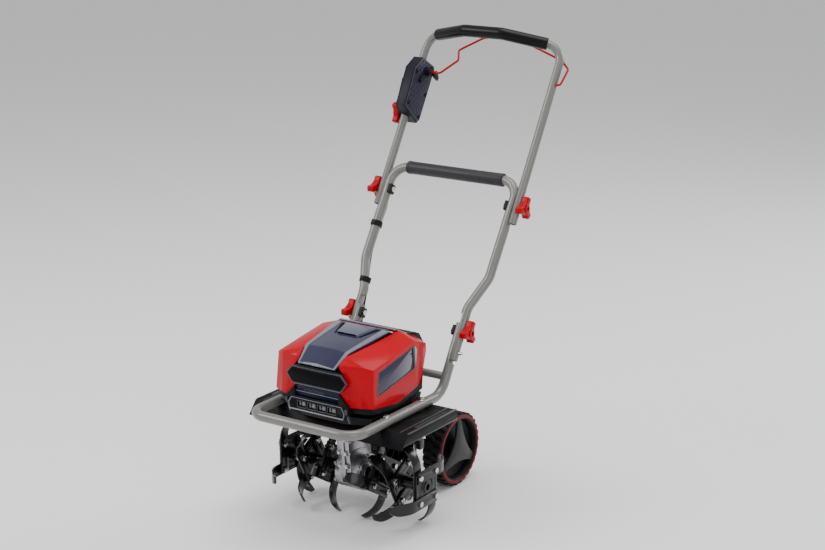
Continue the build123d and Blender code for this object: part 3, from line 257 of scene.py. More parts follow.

# The body that each CAD node in the record belongs to.
BODY_OF = {node: body for body, nodes in frame["record"]["behaviour"]["bodies"].items() for node in nodes}


def dress(obj, look):
    """Give an object one material."""
    obj.data.materials.clear()
    obj.data.materials.append(look)


# ---------------------------------------------------------------- mesh helpers
def new_object(name, bm, look, sharp=32.0):
    """An object from a bmesh, smooth but for edges sharper than the given angle."""
    bmesh.ops.recalc_face_normals(bm, faces=bm.faces)
    mesh = bpy.data.meshes.new(name)
    bm.to_mesh(mesh)
    bm.free()
    obj = bpy.data.objects.new(name, mesh)
    bpy.context.scene.collection.objects.link(obj)
    mesh.shade_smooth()
    mesh.set_sharp_from_angle(angle=radians(sharp))
    dress(obj, look)
    return obj


def settle(obj):
    """Turn an object's modifiers into plain mesh."""
    graph = bpy.context.evaluated_depsgraph_get()
    mesh = bpy.data.meshes.new_from_object(obj.evaluated_get(graph))
    obj.modifiers.clear()
    obj.data = mesh


def rounded(obj, width, segments=2, angle=35.0):
    """Round an object's sharp edges."""
    bevel = obj.modifiers.new("bevel", "BEVEL")
    bevel.width = width * MM
    bevel.segments = segments
    bevel.limit_method = "ANGLE"
    bevel.angle_limit = radians(angle)
    bevel.miter_outer = "MITER_ARC"
    settle(obj)
    obj.data.shade_smooth()
    obj.data.set_sharp_from_angle(angle=radians(40))
    return obj


def stand_for(node, obj):
    """The piece takes the place of a CAD node on that node's body."""
    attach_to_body(obj, BODY_OF[node])
    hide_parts(node)


def attach(obj, body):
    """A piece of its own that rides on a body."""
    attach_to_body(obj, body)


def welded(node):
    """A bmesh of a CAD node with its double vertices merged."""
    bm = bmesh.new()
    bm.from_mesh(frame["nodes"][node].data)
    bmesh.ops.remove_doubles(bm, verts=bm.verts, dist=WELD_GAP)
    return bm


def softened(node, width, look, segments=2, angle=35.0):
    """Put a copy of a CAD node with rounded edges in place of the node."""
    bm = welded(node)
    bmesh.ops.dissolve_limit(bm, angle_limit=radians(2), verts=bm.verts, edges=bm.edges)
    obj = new_object(f"{node}_finished", bm, look)
    stand_for(node, rounded(obj, width, segments, angle))


def prism(bm, points, way):
    """Add a closed prism: a flat outline of 3-D points pushed along a vector."""
    low = [bm.verts.new(point) for point in points]
    high = [bm.verts.new(Vector(point) + way) for point in points]
    bm.faces.new(low)
    bm.faces.new(reversed(high))
    count = len(points)
    for index in range(count):
        after = (index + 1) % count
        bm.faces.new((low[after], low[index], high[index], high[after]))


def lathe(bm, profile, centre, steps, closed=False, turned=Matrix.Identity(3)):
    """Add a profile of (x, radius) in mm spun about an axis through centre: X, or X turned by a matrix."""
    rings = []
    for x, radius in profile:
        ring = []
        for step in range(steps):
            turn = 2 * pi * step / steps
            arm = Vector((x, radius * cos(turn), radius * sin(turn))) * MM
            ring.append(bm.verts.new(centre + turned @ arm))
        rings.append(ring)
    spans = list(zip(rings, rings[1:]))
    if closed:
        spans.append((rings[-1], rings[0]))
    for first, second in spans:
        for step in range(steps):
            after = (step + 1) % steps
            bm.faces.new((first[step], first[after], second[after], second[step]))
    if not closed:
        bm.faces.new(reversed(rings[0]))
        bm.faces.new(rings[-1])


def hex_bolt(bm, place, way, across, height):
    """Add a hexagon head with a chamfered top, standing at place and facing way."""
    turn = way.to_track_quat("Z", "Y").to_matrix()
    radius = across / sqrt(3)
    levels = ((0.0, radius), (height * 0.75, radius), (height, radius * 0.86))
    rings = []
    for level, size in levels:
        corners = []
        for step in range(6):
            angle = pi * step / 3
            corner = Vector((size * cos(angle), size * sin(angle), level)) * MM
            corners.append(bm.verts.new(place + turn @ corner))
        rings.append(corners)
    for first, second in zip(rings, rings[1:]):
        for step in range(6):
            after = (step + 1) % 6
            bm.faces.new((first[step], first[after], second[after], second[step]))
    bm.faces.new(rings[-1])
    bm.faces.new(reversed(rings[0]))


def block_piece(name, outline, way, look, width, body):
    """A rounded prism of its own that rides on a body."""
    bm = bmesh.new()
    prism(bm, outline, way)
    attach(rounded(new_object(name, bm, look), width), body)


def mirrored(points):
    """Points on the right-hand side, then their mirror images in reverse order."""
    return list(points) + [(-x, z) for x, z in reversed(points)]


def sheet(bm, rows):
    """Add faces between rows of vertices."""
    for first, second in zip(rows, rows[1:]):
        for index in range(len(first) - 1):
            bm.faces.new((first[index], first[index + 1], second[index + 1], second[index]))


def thicken(obj, depth):
    """Give a sheet a thickness in mm, inward from its face."""
    thick = obj.modifiers.new("thick", "SOLIDIFY")
    thick.thickness = depth * MM
    thick.offset = -1
    settle(obj)


# ---------------------------------------------------------------- hood, windows and lid
def hood_side(side, y, z, out):
    """A point on the hood's side wall, pushed out by a distance."""
    front_wall = 146 - 0.0104 * (y + 133) - 0.0427 * (z - 343)
    rear_wall = 144 - 0.129 * (y - 52) - 0.0413 * (z - 341)
    return spot(side * (min(front_wall, rear_wall) + out), y, z)


def hood_top(y, x, out):
    """A point on the level top behind the lid, lifted by a distance."""
    fall = max(y - 52, 0) * 0.484
    return spot(x, y, 482 - fall + out)


def strip_loop(bm, rim, inner, depth):
    """Add a closed raised frame between an outer and an inner loop of points, sunk by depth."""
    count = len(rim)
    loops = [[bm.verts.new(p) for p in loop] for loop in (rim, inner)]
    loops += [[bm.verts.new(p + depth) for p in loop] for loop in (rim, inner)]
    for index in range(count):
        after = (index + 1) % count
        for a, b in ((0, 1), (1, 3), (3, 2), (2, 0)):
            bm.faces.new((loops[a][index], loops[a][after], loops[b][after], loops[b][index]))


def weighted_copy(node, look, wide, narrow):
    """Put a copy of a CAD node in its place, shallow outer ridges rounded wide and sharp edges narrow."""
    shallow, steep = radians(8), radians(78)
    heart = spot(0, -20, 400)
    bm = welded(node)
    bmesh.ops.dissolve_limit(bm, angle_limit=radians(3), verts=bm.verts, edges=bm.edges)
    weights = bm.edges.layers.float.new("bevel_weight_edge")
    for edge in bm.edges:
        if len(edge.link_faces) != 2 or edge.calc_length() < 5 * MM:
            continue
        turn = edge.calc_face_angle()
        middle = (edge.verts[0].co + edge.verts[1].co) / 2 - heart
        outward = all(face.normal.dot(middle) > 0 for face in edge.link_faces)
        if shallow < turn < steep and outward and edge.is_convex:
            edge[weights] = 1.0
        elif turn >= steep:
            edge[weights] = narrow / wide
    obj = new_object(f"{node}_finished", bm, look)
    bevel = obj.modifiers.new("bevel", "BEVEL")
    bevel.width = wide * MM
    bevel.segments = 4
    bevel.limit_method = "WEIGHT"
    bevel.miter_outer = "MITER_ARC"
    settle(obj)
    obj.data.shade_smooth()
    obj.data.set_sharp_from_angle(angle=radians(35))
    stand_for(node, obj)


def make_hood():
    """The red shell, its side windows with their frames, and the panel behind the lid."""
    weighted_copy("hood", RED, 1.8, 0.6)
    glass = bmesh.new()
    frames = bmesh.new()
    wedges = bmesh.new()
    for side in SIDES:
        corners = [(-106, 424), (-117, 374), (-112, 366), (50, 392.5), (52, 396), (48, 447), (44, 449.5)]
        centre = (-30, 412)
        frame_wide = 4.2
        rim = [hood_side(side, y, z, 0.9) for y, z in corners]
        inner = []
        for y, z in corners:
            pull = Vector((y - centre[0], z - centre[1]))
            pull = pull * (1 - frame_wide / pull.length)
            inner.append(hood_side(side, centre[0] + pull.x, centre[1] + pull.y, 0.5))
        strip_loop(frames, rim, inner, Vector((-side * 3.2 * MM, 0, 0)))
        pane = [point - Vector((side * 1.2 * MM, 0, 0)) for point in inner]
        prism(glass, pane, Vector((-side * 2.2 * MM, 0, 0)))
        wedge = [hood_side(side, y, z, 0.6) for y, z in ((52, 450), (65, 438.5), (54, 397))]
        prism(wedges, wedge, Vector((-side * 3.4 * MM, 0, 0)))
    panes = rounded(new_object("side_window_glass", glass, GLASS), 0.6)
    stand_for("side_windows", panes)
    attach(rounded(new_object("window_frames", frames, GREY_PLASTIC), 0.7), "chassis")
    attach(rounded(new_object("window_wedges", wedges, PALE_PLASTIC), 0.8), "chassis")
    bm = bmesh.new()
    rows = []
    for y in (44.5, 52, 59, 68, 79, 90):
        row = []
        for share in (-1, -0.96, -0.5, 0, 0.5, 0.96, 1):
            half = 85.5 + 0.21 * max(y - 52, 0)
            lift = 2.0 if abs(share) < 0.99 else 0.4
            row.append(hood_top(y, share * half, lift))
        rows.append([bm.verts.new(point) for point in row])
    sheet(bm, rows)
    panel = new_object("rear_top_panel", bm, LID_RAIL)
    thicken(panel, 2.4)
    attach(rounded(panel, 0.8), "chassis")


# The lid's rows: y, half width and height of its edge, from the front to the hinge.
LID_ROWS = ((-164, 55, 430), (-119, 65.5, 462), (-80, 70, 467.5), (-38, 75, 473), (27, 82, 482))


def lid_point(row, share, lift=0.0):
    """A point on the lid's crowned top: share runs from -1 to 1 across it."""
    y, half_x, top_z = row
    crown = 3.2 * (1 - share * share)
    return spot(share * half_x, y, top_z + crown + lift)


def lid_row(y):
    """The lid's half width and height at y, read between its rows."""
    for near, far in zip(LID_ROWS, LID_ROWS[1:]):
        if y <= far[0]:
            share = (y - near[0]) / (far[0] - near[0])
            return (y, near[1] + (far[1] - near[1]) * share, near[2] + (far[2] - near[2]) * share)
    return (y, LID_ROWS[-1][1], LID_ROWS[-1][2])


def lid_patch(name, outline, lift, depth, look, width=0.8):
    """A plate that follows the lid: outline is (x, y) in mm, lifted off the lid and depth thick."""
    bm = bmesh.new()
    points = []
    for x, y in outline:
        row = lid_row(y)
        points.append(lid_point(row, x / row[1], lift))
    prism(bm, points, Vector((0, 0, -depth * MM)))
    attach(rounded(new_object(name, bm, look), width), "lid")


def make_lid():
    """The smoked lid with its hinge knuckles, lighter rails and lip, a raised scoop, and two grooves and the
    scoop's mouth laid on in near-black painted shade.
    """
    bm = bmesh.new()
    rows = []
    steps = [index / 10 - 1 for index in range(21)]
    for y in (-164, -157, -149, -140, -130, -122, -119, -115, -100, -80, -60, -38, -16, 6, 27):
        rows.append([bm.verts.new(lid_point(lid_row(y), step)) for step in steps])
    sheet(bm, rows)
    shell = new_object("lid_shell", bm, SMOKE, 60)
    thicken(shell, 4)
    bm = bmesh.new()
    bm.from_mesh(shell.data)
    for side in SIDES:
        centre = spot(side * 57, 35, 478)
        lathe(bm, [(-17, 5), (-16, 5.6), (16, 5.6), (17, 5)], centre, 24)
        web = [spot(side * 40, y, z) for y, z in ((22, 476), (22, 483), (36, 483.2), (38, 476))]
        prism(bm, web, Vector((side * 34 * MM, 0, 0)))
    bmesh.ops.recalc_face_normals(bm, faces=bm.faces)
    bm.to_mesh(shell.data)
    bm.free()
    stand_for("lid", rounded(shell, 0.9, angle=50))
    for side in SIDES:
        name = NAMES[side]
        bend = [(side * x, -118) for x in (54.5, 64.5)]
        front = [(side * 54, -163), (side * 49.5, -163), *bend]
        lid_patch(f"lid_rail_front_{name}", front, 1.4, 2.2, LID_RAIL)
        long = [*reversed(bend), (side * 62, 26), (side * 81, 26)]
        lid_patch(f"lid_rail_long_{name}", long, 1.4, 2.2, LID_RAIL)
        # The two grooves are raised strips in near-black painted shade, not cut into the lid.
        groove = [(side * x, y) for x, y in ((34, -36), (38.5, -36), (59, 24), (49, 24))]
        lid_patch(f"lid_groove_shade_{name}", groove, 0.9, 1.6, RECESS_SHADE, 0.4)
    scoop_foot = [(-32, -36), (32, -36), (47, 25), (-47, 25)]
    bm = bmesh.new()
    low = []
    top = []
    for (x, y), rise, draw in zip(scoop_foot, (6.5, 6.5, 3.0, 3.0), (0.93, 0.93, 0.95, 0.95)):
        row = lid_row(y)
        low.append(bm.verts.new(lid_point(row, x / row[1], -1.0)))
        top.append(bm.verts.new(lid_point(row, x * draw / row[1], rise)))
    bm.faces.new(top)
    bm.faces.new(reversed(low))
    for index in range(4):
        after = (index + 1) % 4
        bm.faces.new((low[index], low[after], top[after], top[index]))
    attach(rounded(new_object("lid_scoop", bm, LID_TOP), 1.2, 3), "lid")
    # The scoop's mouth is a near-black block of painted shade set on its front face.
    mouth = [(-27.5, 1.2), (27.5, 1.2), (26, 5.2), (-26, 5.2)]
    row = lid_row(-36)
    bm = bmesh.new()
    prism(bm, [lid_point(row, x / row[1], z - 0.2) - Vector((0, 0.6 * MM, 0)) for x, z in mouth],
          Vector((0, 3 * MM, 0)))
    attach(new_object("lid_scoop_mouth_shade", bm, RECESS_SHADE), "lid")
    lip = [(-49, -163.5), (49, -163.5), (49.2, -161.8), (-49.2, -161.8)]
    lid_patch("lid_front_lip", lip, 0.8, 1.6, LID_RAIL, 0.5)


def make_front():
    """The front panel with its perforated band, the blank badge bar and the guarded grille."""
    softened("front_panel", 1.0, NAVY_GLOSS)
    softened("battery_tray", 0.6, BLACK_PLASTIC)
    bm = bmesh.new()
    for row in range(2):
        for column in range(17):
            x = -40 + 3.6 * column + 1.2 * row
            z = 364.0 - 3.8 * row
            outline = [spot(x + dx, -160.5, z + dz)
                       for dx, dz in ((0, 0), (1.9, 0), (1.3, 2.3), (-0.6, 2.3))]
            prism(bm, outline, Vector((0, 0.8 * MM, 0)))
    attach(new_object("panel_perforations", bm, GREY_PLASTIC), "chassis")
    for name, low_x, low_z, high_x, high_z in (
        ("panel_bead_high", 68.5, 375, 70, 377.2),
        ("panel_bead_low", 63.0, 357.4, 63.8, 359),
    ):
        band = [spot(x, -161.2, z) for x, z in mirrored([(low_x, low_z), (high_x, high_z)])]
        block_piece(name, band, Vector((0, 2 * MM, 0)), LID_RAIL, 0.4, "chassis")
    bm = bmesh.new()
    rim = [spot(x, -164.6, z) for x, z in mirrored([(73, 377.5), (89.5, 401), (73, 421)])]
    hole = [spot(x, -164.6, z) for x, z in mirrored([(71, 381), (86.2, 401), (71, 417.8)])]
    strip_loop(bm, rim, hole, Vector((0, 6.0 * MM, 0)))
    attach(rounded(new_object("badge_rim", bm, GREY_PLASTIC), 0.7), "chassis")
    softened("badge_bar", 1.0, BADGE_BLACK, 3)
    inner = [spot(x, -167.9, z) for x, z in mirrored([(65, 386), (77, 401), (65, 413)])]
    block_piece("badge_face", inner, Vector((0, 1.2 * MM, 0)), BADGE_BLACK, 0.4, "chassis")
    softened("front_grille", 0.8, BLACK_PLASTIC)
    window_pitch = 30
    middles = [(index - 1.5) * window_pitch for index in range(4)]
    bm = bmesh.new()
    for x in middles:
        outer = [spot(x + dx, -165.2, z)
                 for dx, z in ((-13.8, 316.5), (13.8, 316.5), (12.8, 335.5), (-12.8, 335.5))]
        inner = [spot(x + dx, -164.4, z)
                 for dx, z in ((-12, 318.6), (12, 318.6), (11.2, 333.6), (-11.2, 333.6))]
        strip_loop(bm, outer, inner, Vector((0, 2.2 * MM, 0)))
    attach(rounded(new_object("grille_windows", bm, GREY_PLASTIC), 0.6), "chassis")
    bm = bmesh.new()
    for x in middles:
        for low_x, high_x in ((-11, -5), (-2.5, 10.5)):
            outline = [spot(x + dx, -158.5, z)
                       for dx, z in ((low_x, 320), (high_x, 320), (high_x - 2, 330), (low_x, 332))]
            prism(bm, outline, Vector((0, 3 * MM, 0)))
    attach(rounded(new_object("grille_baffles", bm, PALE_PLASTIC), 0.8), "chassis")
    bm = bmesh.new()
    outer = [spot(x, -167.2, z) for x, z in mirrored([(80.5, 310.6), (85, 327), (75, 342)])]
    inner = [spot(x, -166.4, z) for x, z in mirrored([(79, 313.4), (82, 326.5), (73.5, 340)])]
    strip_loop(bm, outer, inner, Vector((0, 3.5 * MM, 0)))
    attach(rounded(new_object("grille_frame", bm, LID_RAIL), 0.7), "chassis")
    sill = [spot(x, -168.0, z) for x, z in mirrored([(79.6, 311), (80.4, 313.2)])]
    block_piece("grille_sill", sill, Vector((0, 3 * MM, 0)), PALE_PLASTIC, 0.6, "chassis")
    for side in SIDES:
        foot = [spot(side * 86.4, y, z)
                for y, z in ((-171, 339), (-163, 339), (-146.5, 299.3), (-152.5, 299.3))]
        name = f"grille_leg_{NAMES[side]}"
        block_piece(name, foot, Vector((side * 5.2 * MM, 0, 0)), GREY_PLASTIC, 1.0, "chassis")


# ---------------------------------------------------------------- wheels
def make_wheel(side):
    """The tyre with its tread, the red ring, the dished rim and a three-armed cap."""
    name = NAMES[side]
    hub = spot(side * 90.5, 297, 98)
    steps = 144
    bm = bmesh.new()
    section = [(-24, 80), (-27.5, 83), (-27.5, 91), (-25, 94.5), (25, 94.5), (27.5, 91), (27.5, 83),
               (26, 80)]
    lathe(bm, [(side * x, r) for x, r in section], hub, steps, closed=True)
    lugs = 30
    pitch = 2 * pi / lugs
    span = pitch * 0.56
    lean_in = pitch * 0.22
    foot_radius, tip_radius = 93.5, 97.9
    for index in range(lugs):
        for half, low_x, high_x in ((0, -26.5, 2), (0.5, -2, 26.5)):
            start = 2 * pi * (index + half) / lugs
            corners = [(low_x, start), (high_x, start + lean_in)]
            corners += [(high_x, start + lean_in + span), (low_x, start + span)]
            foot = []
            tip = []
            for x, t in corners:
                arm = Vector((side * x, foot_radius * cos(t), foot_radius * sin(t)))
                foot.append(bm.verts.new(hub + arm * MM))
            for x, t in corners:
                drawn = x - 1.2 if x > 0 else x + 1.2
                arm = Vector((side * drawn, tip_radius * cos(t), tip_radius * sin(t)))
                tip.append(bm.verts.new(hub + arm * MM))
            bm.faces.new(tip)
            for a in range(4):
                b = (a + 1) % 4
                bm.faces.new((foot[a], foot[b], tip[b], tip[a]))
    tyre = new_object(f"tyre_{name}_treaded", bm, RUBBER, 30)
    stand_for(f"tyre_{name}", rounded(tyre, 0.5, 1, 50))
    bm = bmesh.new()
    ring = [(26.2, 83.0), (27.6, 83.8), (28.4, 85.2), (28.4, 90.2), (27.4, 91.6), (26.2, 92.0)]
    lathe(bm, [(side * x, r) for x, r in ring], hub, steps, closed=True)
    attach(new_object(f"wheel_ring_{name}", bm, RING_RED, 50), f"wheel_{name}")
    bm = bmesh.new()
    dish = [(-26.5, 6.1), (21.5, 6.1), (21.5, 14), (9, 22), (6, 60), (10, 74), (24.5, 79), (26, 80.2),
            (26, 83), (24, 83), (23.5, 80.4), (-23.5, 80.4), (-23.5, 76), (3, 72), (2, 18), (-26.5, 14)]
    lathe(bm, [(side * x, r) for x, r in dish], hub, steps, closed=True)
    for index in range(12):
        turn = Matrix.Rotation(2 * pi * index / 12, 3, "X")
        web = [Vector((x, -1.2, r)) for x, r in ((-20, 15), (2.5, 20), (2.5, 70), (-14, 76), (-14, 60))]
        prism(bm, [hub + turn @ (Vector((side * p.x, p.y, p.z)) * MM) for p in web],
              turn @ Vector((0, 2.4 * MM, 0)))
    stand_for(f"rim_{name}", new_object(f"rim_{name}_dished", bm, RIM_BLACK, 40))
    bm = bmesh.new()
    outline = []
    for arm in range(3):
        aim = radians(92 + 120 * arm)
        for turn, reach in ((-60, 33), (-42, 35.5), (-25, 43), (-14, 56), (-8, 72), (-5.5, 81.5),
                            (5.5, 81.5), (8, 72), (14, 56), (25, 43), (42, 35.5)):
            angle = aim + radians(turn)
            outline.append(Vector((0, -reach * cos(angle), reach * sin(angle))))
    centre = bm.verts.new(hub + Vector((side * 30, 0, 0)) * MM)
    crest = []
    for point in outline:
        height = 29.5 - 5.5 * (point.length / 82.5) ** 2
        crest.append(point + Vector((side * height, 0, 0)))
    rims = [bm.verts.new(hub + point * MM) for point in crest]
    walls = [bm.verts.new(hub + (point - Vector((side * 7, 0, 0))) * MM) for point in crest]
    count = len(rims)
    for index in range(count):
        after = (index + 1) % count
        bm.faces.new((centre, rims[index], rims[after]))
        bm.faces.new((rims[index], walls[index], walls[after], rims[after]))
    bm.faces.new(reversed(walls))
    cap = new_object(f"wheel_cap_{name}", bm, CAP_GREY, 40)
    attach(rounded(cap, 1.0, 2, 50), f"wheel_{name}")


# ---------------------------------------------------------------- knobs, joints and switch box
def make_knob(node, side, s, n, x_low, thick, spin=90):
    """A three-armed wing knob with a domed hub and a recessed centre."""
    bm = bmesh.new()
    outline = []
    for arm in range(3):
        aim = radians(spin + 120 * arm)
        for along, across in ((12.5, -9.5), (17, -8.2), (27, -8.8), (30.5, -6), (30.5, 6), (27, 8.8),
                              (17, 8.2), (12.5, 9.5)):
            n_step = along * cos(aim) - across * sin(aim)
            s_step = along * sin(aim) + across * cos(aim)
            outline.append(lean(side * x_low, s + s_step, n + n_step))
    prism(bm, outline, Vector((side * thick * MM, 0, 0)))
    centre = lean(side * x_low, s, n)
    dome = [(0.5, 11), (thick + 1.5, 11), (thick + 3, 9.5), (thick + 3, 5.2), (thick - 3, 4.8),
            (thick - 3, 0.5), (0.5, 0.5)]
    knob = new_object(f"{node}_moulded", bm, RED_SATIN)
    rounded(knob, 2.4, 3, 40)
    bm = bmesh.new()
    bm.from_mesh(knob.data)
    lathe(bm, [(x * side, r) for x, r in dome], centre, 48, closed=True)
    bm.to_mesh(knob.data)
    bm.free()
    knob.data.shade_smooth()
    knob.data.set_sharp_from_angle(angle=radians(40))
    stand_for(node, knob)


def make_joints():
    """The wing knobs and the locating pins of the low joints."""
    for side in SIDES:
        name = NAMES[side]
        make_knob(f"low_knob_{name}", side, 500, -22, 173, 19)
        make_knob(f"mid_knob_{name}", side, 845, -5, 219.5, 18.5)
        bm = bmesh.new()
        lathe(bm, [(-12 * side, 4), (5 * side, 4), (6.5 * side, 3)], lean(side * 176, 444, -22), 24)
        attach(new_object(f"locating_pin_{name}", bm, ZINC), "lower_handle")
    make_knob("box_knob", -1, 1064, 6, 228.5, 17, 150)


def grown(outline, x, gap):
    """The points of an outline of (n, s) at x, pushed out by gap mm, or in where gap is negative."""
    middle_s = 1130
    points = []
    for n, s in outline:
        points.append(lean(x, s + gap * copysign(1, s - middle_s), n + gap * copysign(1, n)))
    return points


def make_switch_box():
    """The switch box with its hatched plate, screw wells in painted shade, lever, trigger, seam and top ribs."""
    softened("switch_case_inner", 1.6, NAVY_PLASTIC, 3)
    face = [(-53, 1068), (-58, 1170), (-36, 1206), (23, 1206), (27, 1201), (27, 1059), (20, 1050)]
    plate = [lean(-179.6, s, n) for n, s in face]
    block_piece("switch_box_hatch", plate, Vector((-1.2 * MM, 0, 0)), NAVY_HATCH, 0.3, "upper_handle")
    piping = bmesh.new()
    piping_x = -179.4
    strip_loop(piping, grown(face, piping_x, 1.6), grown(face, piping_x, 0), Vector((-1.4 * MM, 0, 0)))
    attach(rounded(new_object("switch_box_piping", piping, GREY_PLASTIC), 0.3), "upper_handle")
    softened("switch_case_outer", 1.6, NAVY_PLASTIC, 3)
    softened("start_button", 1.0, BLACK_PLASTIC)
    # The screw wells are short near-black plugs of painted shade, not hollows.
    screws = bmesh.new()
    for s, n in ((1078, -46), (1062, 20), (1166, -50), (1200, 14), (1126, 22)):
        centre = lean(-180, s, n)
        lathe(screws, [(1.3, 5.0), (1.3, 3.8), (-2.5, 3.6), (-2.5, 0.4)], centre, 28)
    attach(new_object("switch_box_screw_well_shade", screws, RECESS_SHADE), "upper_handle")
    bm = bmesh.new()
    bezel = [(0, 15), (2.2, 15), (3.0, 14.2), (3.0, 11), (0, 11)]
    lathe(bm, bezel, lean(-180, 1183, -4), 48, closed=True)
    attach(new_object("bail_bezel", bm, BLACK_PLASTIC), "upper_handle")
    lever = [lean(-179, s, n) for s, n in ((1176, -10), (1162, -26), (1148, -30), (1143, -24), (1150, -14),
                                           (1166, -2))]
    block_piece("safety_lever", lever, Vector((7 * MM, 0, 0)), BLACK_PLASTIC, 1.5, "upper_handle")
    pad = [lean(-166, s, n) for s, n in ((1190, 4), (1196, 16), (1182, 34), (1172, 31), (1174, 14),
                                         (1178, 4))]
    block_piece("bail_stop", pad, Vector((6 * MM, 0, 0)), BLACK_PLASTIC, 1.5, "bail")
    trigger = [lean(-229.5, s, n) for s, n in ((1098, -14), (1104, -24), (1150, -29), (1156, -24),
                                               (1150, -10), (1104, -8))]
    block_piece("switch_trigger", trigger, Vector((-5 * MM, 0, 0)), BLACK_PLASTIC, 1.8, "upper_handle")
    seam = bmesh.new()
    outline = [(-57, 1065), (-62, 1172), (-38, 1211), (25, 1211), (31, 1203), (31, 1056), (22, 1044)]
    seam_x = -206.6
    strip_loop(seam, grown(outline, seam_x, 0.5), grown(outline, seam_x, -4), Vector((-2.6 * MM, 0, 0)))
    attach(rounded(new_object("switch_box_seam", seam, BLACK_PLASTIC), 0.4), "upper_handle")
    ribs = bmesh.new()
    for index in range(7):
        x = -224 + 6.0 * index
        front = -34 if x > -208 else -17
        corners = [lean(x, s, n) for s, n in ((1210.4, 20), (1212.2, 20), (1212.2, front), (1210.4, front))]
        prism(ribs, corners, Vector((3 * MM, 0, 0)))
    attach(rounded(new_object("switch_box_top_ribs", ribs, NAVY_PLASTIC), 0.6), "upper_handle")


def make_grips():
    """The foam grips, and the beads at the ends of the lower one."""
    softened("cross_grip", 3.0, GRIP_GREY, 4)
    softened("top_grip", 3.0, FOAM, 4)
    bm = bmesh.new()
    for side in SIDES:
        for x in (143, 137):
            bead = [(x, 17.0), (x + 1, 17.6), (x + 2.5, 17.6), (x + 3.5, 17.0)]
            lathe(bm, [(side * along, radius) for along, radius in bead], lean(0, 912.5, -2), 48)
    attach(new_object("cross_grip_beads", bm, GRIP_GREY), "lower_handle")


# ---------------------------------------------------------------- deck, gearbox, tines, base and cable
def make_deck():
    """The deck with its edge beads, hems, pads and washers, and the ribbed strip along each wing, the beads and
    ribs in a lighter grey of painted sheen.
    """
    softened("deck", 0.8, DECK_PAINT)
    for side in SIDES:
        name = NAMES[side]
        # The beads and ribs take the lighter grey of painted sheen.
        for tag, low_x, high_x, rise in (("inner", 204, 207.5, 1.8), ("outer", 225.5, 230.5, 2.2)):
            corners = ((low_x, -109), (high_x, -109), (high_x, 103), (low_x, 103))
            outline = [spot(side * x, y, DECK_HIGH - 0.1) for x, y in corners]
            block_piece(f"deck_bead_{tag}_{name}", outline, Vector((0, 0, rise * MM)), RIB_SHEEN, 0.7,
                        "chassis")
        bm = bmesh.new()
        rib_pitch = 5.2
        for index in range(26):
            y = -60 + rib_pitch * index
            outline = [spot(side * x, y + dy, DECK_HIGH)
                       for x, dy in ((211, 0), (222, 0), (222, 2.6), (211, 2.6))]
            prism(bm, outline, Vector((0, 0, 1.5 * MM)))
        attach(rounded(new_object(f"deck_ribs_{name}", bm, RIB_SHEEN), 0.5, 1), "chassis")
        hem = [spot(side * 230.4, y, z)
               for y, z in ((-133, 261.5), (107, 261.5), (106.6, 265.5), (-129.5, 265.5))]
        block_piece(f"deck_hem_{name}", hem, Vector((-side * 3.4 * MM, 0, 0)), BLACK_PAINT, 0.6, "chassis")
    bm = bmesh.new()
    for x in (-100, -50, 0, 50, 100):
        outline = [spot(x + dx, y, DECK_HIGH) for dx, y in ((-14, -108), (14, -108), (11, -88), (-11, -88))]
        prism(bm, outline, Vector((0, 0, 1.3 * MM)))
    attach(rounded(new_object("deck_pads", bm, BLACK_PAINT), 0.6), "chassis")
    bm = bmesh.new()
    washer = [(0, 9.0), (1.4, 9.0), (1.8, 8.4), (1.8, 4.2), (0, 4.2)]
    upright = Matrix.Rotation(radians(-90), 3, "Y")
    for side in SIDES:
        for y in (-92, 58):
            lathe(bm, washer, spot(side * 155, y, 311.3), 32, closed=True, turned=upright)
    attach(new_object("rail_washers", bm, ZINC), "chassis")


# The gearbox's front flange: the heights of its screws, and its lean forward per mm of height.
FLANGE_BOLT_Z = (140, 176, 214, 252)
FLANGE_RAKE = 0.118
# The round covers: the radius of their bolt circle, and the angles of its screws.
BOLT_CIRCLE = 43
BOLT_AIMS = [radians(30 + 60 * index) for index in range(6)]


